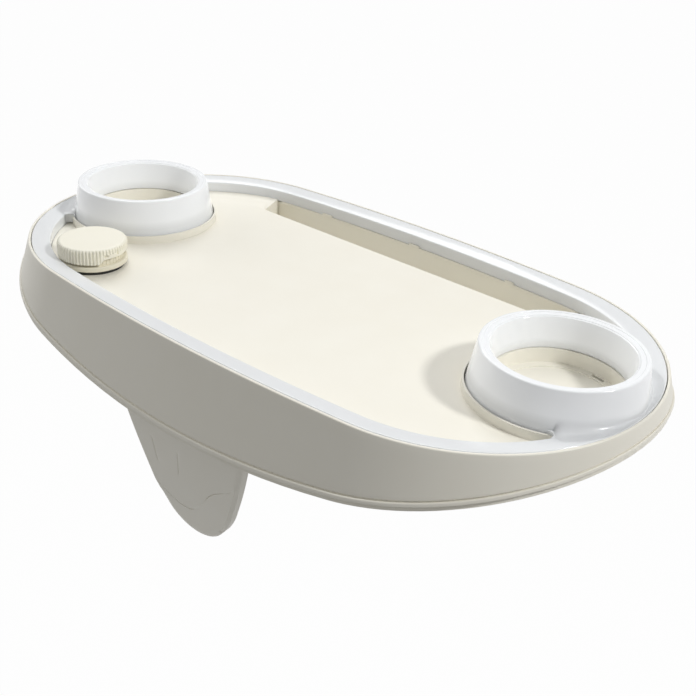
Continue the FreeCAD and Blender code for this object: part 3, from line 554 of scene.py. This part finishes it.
def tray_skirt(material):
    """The tray's lip, leaning skirt, groove and bead as one outline, and the slot's rail and tabs.

    The outline's inner side lies in the wall's thickness, down to a ledge inside the lip.
    """
    profile = rounded([
        (0.0, 0.0, 0.8),
        (0.0, GROOVE_TOP, 0.25),
        (-GROOVE_INSET, GROOVE_TOP + 0.2, 0.2),
        (-GROOVE_INSET, BEAD_TOP, 0.2),
        (BEAD_PROUD, BEAD_TOP + 0.1, 0.7),
        (BEAD_PROUD, SKIRT_FOOT, 0.7),
        (-SKIRT_WALL, SKIRT_FOOT, 0),
        (-SKIRT_WALL, LEDGE_DEPTH + 0.1, 0),
        (-LIP_WIDTH - FLARE * LEDGE_DEPTH, LEDGE_DEPTH, 0),
        (-LIP_WIDTH, 0.0, 0.5),
    ])
    grids = [skirted(refined(profile, 5.0))] + slot_trim()
    piece = surface("tray_lip_and_skirt", grids, "tray", material, 30)
    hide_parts("upper_shell")
    return piece


def arc_arms(co):
    """Arm to each point from the centre of the outline's arc beside it, and that arc's radius."""
    at_end = np.abs(np.arctan2(co[:, 1], np.abs(co[:, 0]) - END_X)) < END_TURN
    x = np.where(at_end, np.sign(co[:, 0]) * END_X, 0)
    y = np.where(at_end, 0, -np.sign(co[:, 1]) * SIDE_Y)
    return co[:, :2] - np.stack([x, y], -1), np.where(at_end, END_RADIUS, SIDE_RADIUS)


def fit_to_ring(co, axis):
    """Keep the well's wall down under the ring, and make the collar slimmer and a little higher.

    The collar's points move along their arms from the ring's axis to the slim collar's distances.
    """
    arm = co[:, :2] - axis
    from_axis = np.linalg.norm(arm, axis=1)
    co[(from_axis < RING_LIP_INNER) & (co[:, 2] > -0.3), 2] = RING_THROAT_LEVEL - 0.2
    collar = (from_axis > COLLAR_SLIM[0][0]) & (from_axis < COLLAR_SLIM[-1][0])
    collar &= (co[:, 2] > COLLAR_FOOT) & (co[:, 2] < COLLAR_TOP + 0.1)
    slim = on_lines(from_axis, COLLAR_SLIM)
    co[collar, :2] = axis + arm[collar] * (slim / from_axis)[collar][:, None]
    co[collar & (co[:, 2] > COLLAR_TOP - 0.1), 2] += COLLAR_LIFT


def tucked_in(piece):
    """The moulded shell, drawn inside the skirt and under the rings, with longer ends to its slot.

    A point of the outer skin stands proud of the leaning skirt by its distance beyond the rim's
    outline, less the flare times its depth. Such points move to one small depth inside the skirt,
    and those of the lip go down under it. The slot's ends move outwards by a share that fades
    along the tray, towards the deck and towards the skirt.
    """
    mesh = piece.data
    co = np.empty(len(mesh.vertices) * 3)
    mesh.vertices.foreach_get("co", co)
    co = co.reshape(-1, 3) * 1000 - [0, 0, RIM]
    arm, radius = arc_arms(co)
    reach = np.linalg.norm(arm, axis=1)
    proud = reach - radius + FLARE * co[:, 2]
    move = np.where(proud > -SKIN_NEAR, -SKIN_TUCK - proud, 0)
    co[:, :2] += arm / reach[:, None] * move[:, None]
    co[(co[:, 2] > -0.05) & (reach - radius > -2.3), 2] = -LIP_TUCK
    for side in (1, -1):
        fit_to_ring(co, np.array([side * RING_X, 0.0]))
    off_deck = on_lines(co[:, 1], ((79, 0), (86, 1)))
    off_skirt = on_lines(radius - reach, ((12.5, 0), (15.5, 1)))
    along = on_lines(np.abs(co[:, 0]), ((110, 0), (132, 1), (150, 1), (175, 0)))
    co[:, 0] += np.sign(co[:, 0]) * SLOT_END_REACH * off_deck * off_skirt * along
    mesh.vertices.foreach_set("co", ((co + [0, 0, RIM]) * 0.001).ravel())
    mesh.update()
    return piece


# ---- legs ----

def leg_outline():
    """Even points round the tongue: bowed sides and toes, a round tip, and a root under the cover.

    Each side and toe is a chord that swells by bow times 4 s (1 - s) at a share s of its length,
    and the tip is an arc through its ends and its lowest point.
    """
    s = np.linspace(0, 1, 60, endpoint=False)[:, None]
    root_corner = np.array([LEG_HALF_ROOT, bowed_level(LEG_HALF_ROOT, LEG_ROOT_DEPTH)])
    shoulder, toe = np.array(LEG_SHOULDER), np.array(LEG_TOE)
    right = []
    for a, b, bow in ((root_corner, shoulder, 1.5), (shoulder, toe, 1.8)):
        along = (b - a) / np.linalg.norm(b - a)
        swell = np.array([-along[1], along[0]]) * bow * 4 * s * (1 - s)
        right.append(a + (b - a) * s + swell)
    fall = LEG_TOE[1] - LEG_TIP
    radius = (LEG_TOE[0] ** 2 + fall ** 2) / (2 * fall)
    swing = np.linspace(math.asin(LEG_TOE[0] / radius), 0, 40)
    right.append(np.stack([radius * np.sin(swing), LEG_TIP + radius - radius * np.cos(swing)], -1))
    right = np.concatenate(right)
    left = right[:-1][::-1] * [-1, 1]
    x = np.linspace(-LEG_HALF_ROOT, LEG_HALF_ROOT, 81)[1:-1]
    root = np.stack([x, bowed_level(x, LEG_ROOT_DEPTH)], -1)
    loop = np.concatenate([right, left, root, right[:1]])
    whole = lengths_along(loop)[-1]
    return points_at(np.linspace(0, whole, LEG_POINTS, endpoint=False), loop)


def leg_fold(points, spine):
    """Where the fold across the tongue crosses each ray from the spine: its share of the way out.

    The fold is the line through its places, smoothed by a running mean under a raised cosine.
    """
    places = np.array(FOLD_PLACES, float)
    curve = points_at(np.linspace(0, lengths_along(places)[-1], 400), places)
    kernel = np.hanning(23) / np.hanning(23).sum()
    ends = np.pad(curve, ((11, 11), (0, 0)), mode="edge")
    curve = np.stack([np.convolve(ends[:, k], kernel, "valid") for k in (0, 1)], -1)
    a, b = curve[:-1][None], curve[1:][None]
    p, d = spine[:, None], (points - spine)[:, None]
    edge = b - a
    cross = d[..., 0] * edge[..., 1] - d[..., 1] * edge[..., 0]
    cross = np.where(np.abs(cross) < 1e-9, 1e-9, cross)
    gap = a - p
    along_ray = (gap[..., 0] * edge[..., 1] - gap[..., 1] * edge[..., 0]) / cross
    along_edge = (gap[..., 0] * d[..., 1] - gap[..., 1] * d[..., 0]) / cross
    hit = (along_edge >= 0) & (along_edge <= 1) & (along_ray > 0.02)
    return np.where(hit, along_ray, 9.0).min(1)


def front_shares(span, step, half_step):
    """Shares of the way from the spine to the edge at which the front has its rows of points.

    The rows lie close together where the two creases run and across the fold.
    """
    inner, outer = CREASE_PLACES
    first = np.minimum(inner / span, (step - half_step) * 0.4)
    second = np.minimum(outer / span, (step - half_step) * 0.85)
    near = CREASE_ROWS_HALF / span * np.minimum(1, first * span / inner)
    stops = (
        (0 * step, first - near, 3),
        (first - near, first + near, 8),
        (first + near, second - near, 8),
        (second - near, second + near, 8),
        (second + near, step - half_step, 5),
        (step - half_step, step + half_step, 10),
        (step + half_step, 0 * step + 1, 10),
    )
    rows = [
        low[:, None] + (high - low)[:, None] * np.linspace(0, 1, parts, endpoint=False)
        for low, high, parts in stops
    ]
    return np.clip(np.concatenate(rows, 1), 0, 1)


def crease_depth(points):
    """Depth of the two short creases down the front.

    Each is its depth times exp(-(distance beside its line / half width) squared), faded at its
    ends.
    """
    depth = 0.0
    for top, foot in CREASES:
        along = (points[..., 1] - top[1]) / (foot[1] - top[1])
        beside = points[..., 0] - top[0] - (foot[0] - top[0]) * along
        ends = np.clip(along / CREASE_FADE, 0, 1) * np.clip((1 - along) / CREASE_FADE, 0, 1)
        depth = depth + CREASE_DEPTH * ends * np.exp(-(beside / CREASE_HALF) ** 2)
    return depth


def leg_body():
    """Hollow tongue as rows of loops about its spine: face, fold, edge, side, back rim and hollow.

    A loop point runs from the spine out to the outline's inset by a share. The panel inside the
    fold is the front plane, and the face outside it is set back by a smooth step, with a narrow
    line sunk along the fold and two creases in the panel. The edge is a chamfer below the fold and
    a wide round above it, and the toe is eased. The whole leans inwards about its root.
    """
    outline = leg_outline()
    tangent = np.roll(outline, -1, 0) - np.roll(outline, 1, 0)
    tangent /= np.linalg.norm(tangent, axis=1)[:, None]
    outward = np.stack([-tangent[:, 1], tangent[:, 0]], -1)
    x, z = outline.T
    root = z > bowed_level(x, LEG_ROOT_DEPTH) - 0.05
    spine = np.stack([0 * x, np.clip(z, *LEG_SPINE)], -1)

    # the edge widens, and is round, below level -138 and on the right above level -96
    toe = np.clip((-138 - z) / 12, 0, 1)
    upper_right = np.clip((z + 96) / 10, 0, 1) * (x > 0)
    inset = LEG_EDGE + 4.0 * toe * np.clip((34 - x) / 10, 0, 1) + 2.5 * upper_right
    inset = np.where(root, 0.0, inset)[:, None]
    back = np.where(root, 0.0, LEG_EDGE + 0.6 * upper_right)[:, None]
    soft = np.clip(upper_right + 0.9 * toe * (x < 30), 0, 1)[:, None]
    edge = outline - outward * inset

    cross = leg_fold(edge, spine)
    folded = cross < 1
    span = np.linalg.norm(edge - spine, axis=1)
    half_step = FOLD_STEP_HALF / span
    # where the fold doesn't cross, its rows lie near the edge and stay flat
    step = np.where(folded, cross, 0.93)
    fold_x = edge[:, 0] * np.where(folded, cross, 1)
    drop = np.where(folded, on_lines(fold_x, FOLD_STEP), 0.0)[:, None]
    line = np.where(folded, on_lines(fold_x, FOLD_LINE_DEPTH) * on_lines(fold_x, FOLD_LINE), 0)

    share = front_shares(span, step, half_step)
    front = spine[:, None] + (edge - spine)[:, None] * share[..., None]
    ramp = np.clip((share - (step - half_step)[:, None]) / (2 * half_step)[:, None], 0, 1)
    from_fold = (share - step[:, None]) * span[:, None]
    depth = drop * ramp * ramp * (3 - 2 * ramp)
    depth += line[:, None] * np.exp(-(from_fold / FOLD_LINE_HALF) ** 4)
    depth += crease_depth(front)

    k = np.linspace(0, 1, 9)[None]
    round_in, round_back = 1 - np.sin(k * math.pi / 2), 1 - np.cos(k * math.pi / 2)
    edge_in = inset * (1 - k) * (1 - soft) + inset * round_in * soft
    edge_back = back * k * (1 - soft) + back * round_back * soft + drop
    side_in = np.array([0.0, 0.0, 0.5, 3.2, 3.6, 3.6]) + 0 * inset
    side_back = LEG_DEPTH - np.array([3, 0.5, 0, 0, 0.4, LEG_DEPTH - LEG_WALL]) + 0 * inset
    rim_in = np.concatenate([edge_in, side_in], 1)
    rim = outline[:, None] - outward[:, None] * rim_in[..., None]
    inwards = np.linspace(0.85, 0, 6)[None, :, None]
    floor = spine[:, None] + (rim[:, -1:] - spine[:, None]) * inwards
    floor_back = np.full((LEG_POINTS, 6), LEG_WALL)
    plan = np.concatenate([front, rim, floor], 1)
    depth = np.concatenate([depth, edge_back, side_back, floor_back], 1)
    return leaned(plan[..., 0], depth, plan[..., 1])


def leaned(x, back, level):
    """Points at a depth behind the front plane, turned about the root so that they lean in."""
    down = level - LEG_ROOT
    y = -LEG_FRONT + back * math.cos(LEG_LEAN) - down * math.sin(LEG_LEAN)
    z = LEG_ROOT + back * math.sin(LEG_LEAN) + down * math.cos(LEG_LEAN)
    return np.stack([x, y, z], -1)


def leg_ribs():
    """Three upright ribs in the tongue's hollow: a section carried down, shrunk at both ends."""
    section = rounded([(-1, 3.9, 0), (1, 3.9, 0), (1, 7.6, 0.3), (-1, 7.6, 0.3)], 3)
    end_back = 5.0
    taper = np.concatenate([[0.02], np.ones(28), [0.02]])[:, None]
    ribs = []
    for middle, foot in LEG_RIBS:
        level = np.linspace(-60, foot, 30)[:, None]
        x = middle + section[:, 0][None] * taper
        back = end_back + (section[:, 1][None] - end_back) * taper
        ribs.append((leaned(x, back, level + 0 * x), "open ends"))
    return ribs


def leg_flange():
    """Plate under the cover that holds the tongue: a section carried along the underside."""
    section = rounded([
        (-LEG_FRONT, FLANGE_TOP, 0.5),
        (-FLANGE_INNER, FLANGE_TOP, 0.5),
        (-FLANGE_INNER, FLANGE_FOOT, 0.8),
        (-LEG_FRONT, FLANGE_FOOT, 0.8),
    ], 3)
    middle = -(LEG_FRONT + FLANGE_INNER) / 2
    x = np.linspace(-LEG_HALF_ROOT, LEG_HALF_ROOT, 41)[:, None]
    taper = np.concatenate([[0.02], np.ones(39), [0.02]])[:, None]
    y = middle + (section[:, 0][None] - middle) * taper
    depth = -LEG_ROOT + (section[:, 1][None] + LEG_ROOT) * taper
    return np.stack([x + 0 * y, y, bowed_level(x, depth)], -1), "open ends"


def leg(name, node, side, material):
    """Tongue, the ribs in its hollow, and the bowed flange that is screwed under the cover."""
    grids = [(leg_body(), "poles")] + leg_ribs() + [leg_flange()]
    if side > 0:
        grids = [(grid * [1, -1, 1], kind) for grid, kind in grids]
    piece = surface(name, grids, "tray", material, 28)
    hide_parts(node)
    return piece


# ---- battery cap ----

def battery_cap(material):
    """Ribbed cap: a turned outline whose wall swells with a rounded square wave of the angle.

    The wave fades out over the round top edge. Over the window the skirt and its ribs stop short,
    and the window starts on a slant. Two pockets are sunk in the wall: a pocket's depth is the
    full depth times exp(-(a to the fourth + b to the fourth)), where a and b are the distances
    round the cap and up it, in the pocket's half widths.
    """
    steps = CAP_RIBS * CAP_RIB_STEPS
    angle = np.linspace(0, 2 * math.pi, steps, endpoint=False)
    degrees = (np.degrees(angle) + 180) % 360 - 180
    opens = np.clip((degrees - CAP_WINDOW[0]) / CAP_WINDOW_SLOPES[0], 0, 1)
    closes = np.clip((CAP_WINDOW[1] - degrees) / CAP_WINDOW_SLOPES[1], 0, 1)
    window = (opens * closes)[:, None]
    edge = CAP_EDGE + (CAP_WINDOW_EDGE - CAP_EDGE) * window
    wave = np.tanh(2.6 * np.cos(CAP_RIBS * angle)) / math.tanh(2.6)
    rib = 0.1 + 0.5 * wave[:, None]

    # rows of the outline: flat top, round edge, side, foot, and the foot's inner edge
    upper = CAP_TOP - CAP_ROUND
    corner = np.linspace(0, math.pi / 2, 9)
    side = np.linspace(0, 1, CAP_SIDE_ROWS + 1)[1:]
    dish = np.array([0.0, 6.0, 12.0, 17.0, 20.0, 22.0])
    radius = np.concatenate([
        dish,
        CAP_RADIUS - CAP_ROUND + CAP_ROUND * np.sin(corner),
        np.full(CAP_SIDE_ROWS, CAP_RADIUS),
        [CAP_RADIUS - CAP_FOOT_ROUND, CAP_RADIUS - CAP_WALL],
    ])
    top_level = np.concatenate([CAP_TOP + 0 * dish, upper + CAP_ROUND * np.cos(corner)])
    side_level = upper + (edge + CAP_FOOT_ROUND - upper) * side
    level = np.concatenate([top_level[None].repeat(steps, 0), side_level, edge, edge], 1)
    swell = np.concatenate([0 * dish, np.sin(corner) ** 3, np.ones(CAP_SIDE_ROWS), [1.0, 0.0]])
    short = np.clip((level - (upper - CAP_SHORT_RIB)) / 0.5, 0, 1)
    radius = radius + swell * (1 - window * (1 - short)) * rib
    around = math.radians(1) * CAP_RADIUS
    for turn, height, width, tall in CAP_POCKETS:
        away = ((degrees[:, None] - turn) * around / width) ** 4 + ((level - height) / tall) ** 4
        radius = radius - CAP_POCKET_DEPTH * np.exp(-away) * (level < upper)
    inner_r = np.array([CAP_RADIUS - CAP_WALL, CAP_RADIUS - CAP_WALL - 0.5, 0.0])
    inner_level = CAP_TOP - CAP_WALL - np.array([0.5, 0.0, 0.0])
    radius = np.concatenate([radius, inner_r[None].repeat(steps, 0)], 1)
    level = np.concatenate([level, inner_level[None].repeat(steps, 0)], 1)
    x = CAP_X + radius * np.cos(angle)[:, None]
    y = CAP_Y + radius * np.sin(angle)[:, None]
    grids = [(np.stack([x, y, level], -1), "poles")]
    piece = surface("battery_cap_ribbed", grids, "cap", material, 60)
    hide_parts("battery_cap")
    return piece


# ---- finishes ----

def srgb(r, g, b):
    """Linear colour of a screen colour: c / 12.92 near black, and a power of 2.4 above it."""
    c = np.array([r, g, b]) / 255.0
    linear = np.where(c <= 0.04045, c / 12.92, ((c + 0.055) / 1.055) ** 2.4)
    return (*linear.tolist(), 1.0)


def finish_material(name, light, dark, roughness, scale, bump, metallic=0.0, patches=30.0,
                    **shader):
    """Moulded or plated finish: two close tones in soft patches, a fine grain, and roughness that
    varies a little over the surface."""
    material = bpy.data.materials.new(name)
    material.use_nodes = True
    tree = material.node_tree
    tree.nodes.clear()
    new = tree.nodes.new
    link = tree.links.new
    out = new("ShaderNodeOutputMaterial")
    body = new("ShaderNodeBsdfPrincipled")
    link(body.outputs["BSDF"], out.inputs["Surface"])
    place = new("ShaderNodeTexCoord")

    cloud = new("ShaderNodeTexNoise")
    cloud.inputs["Scale"].default_value = patches
    cloud.inputs["Detail"].default_value = 4.0
    link(place.outputs["Object"], cloud.inputs["Vector"])
    tone = new("ShaderNodeMix")
    tone.data_type = "RGBA"
    tone.inputs["A"].default_value = srgb(*dark)
    tone.inputs["B"].default_value = srgb(*light)
    link(cloud.outputs["Fac"], tone.inputs["Factor"])
    link(tone.outputs["Result"], body.inputs["Base Color"])

    grain = new("ShaderNodeTexNoise")
    grain.inputs["Scale"].default_value = scale
    grain.inputs["Detail"].default_value = 3.0
    link(place.outputs["Object"], grain.inputs["Vector"])
    level = new("ShaderNodeMapRange")
    level.inputs["To Min"].default_value = roughness - 0.04
    level.inputs["To Max"].default_value = roughness + 0.04
    link(grain.outputs["Fac"], level.inputs["Value"])
    link(level.outputs["Result"], body.inputs["Roughness"])
    relief = new("ShaderNodeBump")
    relief.inputs["Strength"].default_value = bump
    relief.inputs["Distance"].default_value = 0.0002
    link(grain.outputs["Fac"], relief.inputs["Height"])
    link(relief.outputs["Normal"], body.inputs["Normal"])

    body.inputs["Metallic"].default_value = metallic
    for key, value in shader.items():
        body.inputs[key.replace("_", " ")].default_value = value
    return material


def painted_glow_above(material, strength):
    """Painted glow on the rings, in place of light that comes through their walls: emission that
    starts at the rim's level and is full a few millimetres above it."""
    tree = material.node_tree
    body = next(node for node in tree.nodes if node.type == "BSDF_PRINCIPLED")
    place = next(node for node in tree.nodes if node.type == "TEX_COORD")
    parts = tree.nodes.new("ShaderNodeSeparateXYZ")
    tree.links.new(place.outputs["Object"], parts.inputs[0])
    level = tree.nodes.new("ShaderNodeMapRange")
    level.inputs["From Min"].default_value = RIM * 0.001
    level.inputs["From Max"].default_value = RIM * 0.001 + 0.006
    level.inputs["To Max"].default_value = strength
    tree.links.new(parts.outputs["Z"], level.inputs["Value"])
    tree.links.new(level.outputs["Result"], body.inputs["Emission Strength"])


cream = finish_material("cream_satin_plastic", (243, 240, 229), (239, 235, 222), 0.42, 2600, 0.12)
cream_cap = finish_material("cream_cap_plastic", (247, 244, 230), (243, 239, 222), 0.38, 2200, 0.12)
cream_case = finish_material(
    "cream_case_plastic", (238, 233, 214), (232, 226, 205), 0.42, 2200, 0.12,
)
# The opal's emission colour paints a faint glow on the rings above the rim, in place of light
# through their walls.
opal = finish_material(
    "opal_gloss_plastic", (237, 239, 240), (233, 235, 237), 0.12, 900, 0.0, patches=14.0,
    Subsurface_Weight=0.2, Subsurface_Scale=0.004, Subsurface_Radius=(1.0, 1.0, 1.0),
    Emission_Color=srgb(248, 248, 250),
)
painted_glow_above(opal, strength=0.13)
steel = finish_material(
    "plain_steel", (178, 178, 180), (160, 160, 163), 0.32, 1500, 0.1, metallic=1.0,
)
rubber = finish_material("seal_rubber", (44, 44, 44), (34, 34, 34), 0.6, 1800, 0.2)
cage_black = finish_material("dark_cage_plastic", (38, 38, 39), (30, 30, 31), 0.45, 2000, 0.15)
plated = finish_material(
    "plated_contact", (205, 200, 190), (190, 184, 172), 0.25, 1400, 0.08, metallic=1.0,
)
cell_can = finish_material("cell_sleeve", (120, 124, 130), (108, 112, 119), 0.28, 1200, 0.05)
strip = finish_material("strip_tape", (236, 236, 232), (228, 228, 224), 0.5, 1800, 0.15)
led = finish_material("led_phosphor", (240, 226, 140), (232, 214, 120), 0.25, 1200, 0.05)
board = finish_material("board_lacquer", (44, 104, 66), (36, 92, 56), 0.3, 1500, 0.1)

# ---- the object ----

light_guide(opal)
battery_cap(cream_cap)
tray_skirt(cream)
tucked_in(eased("upper_shell", "tray_deck", 0.4, cream))
eased("bottom_cover", "bottom_plate", 0.4, cream)
leg("front_tongue", "front_leg", -1, cream)
leg("rear_tongue", "rear_leg", 1, cream)
eased("battery_case", "battery_housing", 0.2, cream_case)

node_finish = {
    "cover_screws": steel,
    "front_leg_screws": steel,
    "rear_leg_screws": steel,
    "case_seal": rubber,
    "case_nut": cream_case,
    "cap_seal": rubber,
    "cell_cage": cage_black,
    "cage_contacts": plated,
    "cell_1": cell_can,
    "cell_2": cell_can,
    "cell_3": cell_can,
    "led_strip": strip,
    "band_leds": led,
    "left_ring_strip": strip,
    "right_ring_strip": strip,
    "left_ring_leds": led,
    "right_ring_leds": led,
    "control_board": board,
}
for name, material in node_finish.items():
    nodes[name].data.materials.clear()
    nodes[name].data.materials.append(material)


# ---- floor, light and camera, in metres ----

FLOOR_LEVEL = -0.75
FLOOR_HALF = 20.0
FLOOR_GREY = 0.45
FLOOR_WHITE = 0.98
LAMP_TARGET = Vector((0.0, 0.0, 0.05))
CAMERA_PLACE = Vector((0.4404, -0.5014, 0.3667))
CAMERA_AZIMUTH = math.radians(39.29)
CAMERA_ELEVATION = math.radians(28.66)
CAMERA_ROLL = 0.0598
CAMERA_LENS = 52.03


def seen_directly(tree, other):
    """Socket that is 1 for camera rays and one other kind of ray, and 0 for the rest."""
    path = tree.nodes.new("ShaderNodeLightPath")
    seen = tree.nodes.new("ShaderNodeMath")
    seen.operation = "MAXIMUM"
    tree.links.new(path.outputs["Is Camera Ray"], seen.inputs[0])
    tree.links.new(path.outputs[other], seen.inputs[1])
    return seen.outputs[0]


def white_floor():
    """Flat floor that looks nearly white, also in reflections, and takes a faint shadow."""
    mesh = bpy.data.meshes.new("floor")
    corners = [(-1, -1), (1, -1), (1, 1), (-1, 1)]
    points = [(x * FLOOR_HALF, y * FLOOR_HALF, FLOOR_LEVEL) for x, y in corners]
    mesh.from_pydata(points, [], [(0, 1, 2, 3)])
    floor = bpy.data.objects.new("floor", mesh)
    bpy.context.scene.collection.objects.link(floor)
    material = bpy.data.materials.new("white_floor")
    material.use_nodes = True
    tree = material.node_tree
    tree.nodes.clear()
    out = tree.nodes.new("ShaderNodeOutputMaterial")
    matte = tree.nodes.new("ShaderNodeBsdfDiffuse")
    matte.inputs["Color"].default_value = (FLOOR_GREY, FLOOR_GREY, FLOOR_GREY, 1)
    glow = tree.nodes.new("ShaderNodeEmission")
    share = tree.nodes.new("ShaderNodeMath")
    share.operation = "MULTIPLY"
    share.inputs[1].default_value = FLOOR_WHITE
    blend = tree.nodes.new("ShaderNodeMixShader")
    tree.links.new(seen_directly(tree, "Is Glossy Ray"), share.inputs[0])
    tree.links.new(share.outputs[0], blend.inputs[0])
    tree.links.new(matte.outputs[0], blend.inputs[1])
    tree.links.new(glow.outputs[0], blend.inputs[2])
    tree.links.new(blend.outputs[0], out.inputs["Surface"])
    mesh.materials.append(material)


def surround(strength):
    """Even light from all round; the camera sees white, also through clear pieces."""
    world = bpy.data.worlds.new("surround")
    bpy.context.scene.world = world
    world.use_nodes = True
    tree = world.node_tree
    tree.nodes.clear()
    out = tree.nodes.new("ShaderNodeOutputWorld")
    fill = tree.nodes.new("ShaderNodeBackground")
    fill.inputs["Color"].default_value = (1, 1, 1, 1)
    fill.inputs["Strength"].default_value = strength
    white = tree.nodes.new("ShaderNodeBackground")
    white.inputs["Color"].default_value = (1, 1, 1, 1)
    blend = tree.nodes.new("ShaderNodeMixShader")
    tree.links.new(seen_directly(tree, "Is Transmission Ray"), blend.inputs[0])
    tree.links.new(fill.outputs[0], blend.inputs[1])
    tree.links.new(white.outputs[0], blend.inputs[2])
    tree.links.new(blend.outputs[0], out.inputs["Surface"])


def lamp(name, place, size, level):
    """Square soft lamp aimed at the tray; level is the light that reaches it.

    At level 1 a colour shows as written: energy = level times pi squared times distance squared.
    """
    arm = LAMP_TARGET - Vector(place)
    data = bpy.data.lights.new(name, "AREA")
    data.shape = "SQUARE"
    data.size = size
    data.energy = level * math.pi * math.pi * arm.length ** 2
    lamp_object = bpy.data.objects.new(name, data)
    lamp_object.location = place
    lamp_object.rotation_euler = arm.to_track_quat("-Z", "Y").to_euler()
    bpy.context.scene.collection.objects.link(lamp_object)


def view_camera():
    """Camera at the photograph's angle, rolled about its line of sight."""
    data = bpy.data.cameras.new("view")
    camera = bpy.data.objects.new("view", data)
    bpy.context.scene.collection.objects.link(camera)
    bpy.context.scene.camera = camera
    data.sensor_width = 36.0
    data.lens = CAMERA_LENS
    data.clip_start = 0.01
    data.clip_end = 50.0
    az, el, roll = CAMERA_AZIMUTH, CAMERA_ELEVATION, CAMERA_ROLL
    back = Vector((math.sin(az) * math.cos(el), -math.cos(az) * math.cos(el), math.sin(el)))
    right = Vector((math.cos(az), math.sin(az), 0.0))
    up = back.cross(right)
    right_rolled = math.cos(roll) * right + math.sin(roll) * up
    up_rolled = -math.sin(roll) * right + math.cos(roll) * up
    basis = Matrix((right_rolled, up_rolled, back)).transposed().to_4x4()
    camera.matrix_world = Matrix.Translation(CAMERA_PLACE) @ basis


white_floor()
surround(strength=0.36)
lamp("key", (1.426, 0.396, 1.394), size=0.22, level=0.45)
lamp("overhead", (-0.85, 0.7, 1.5), size=1.2, level=0.42)
lamp("left_fill", (-1.9, -0.3, 0.75), size=1.2, level=0.24)
view_camera()
bpy.context.scene.view_settings.view_transform = "Standard"

bpy.context.view_layer.update()
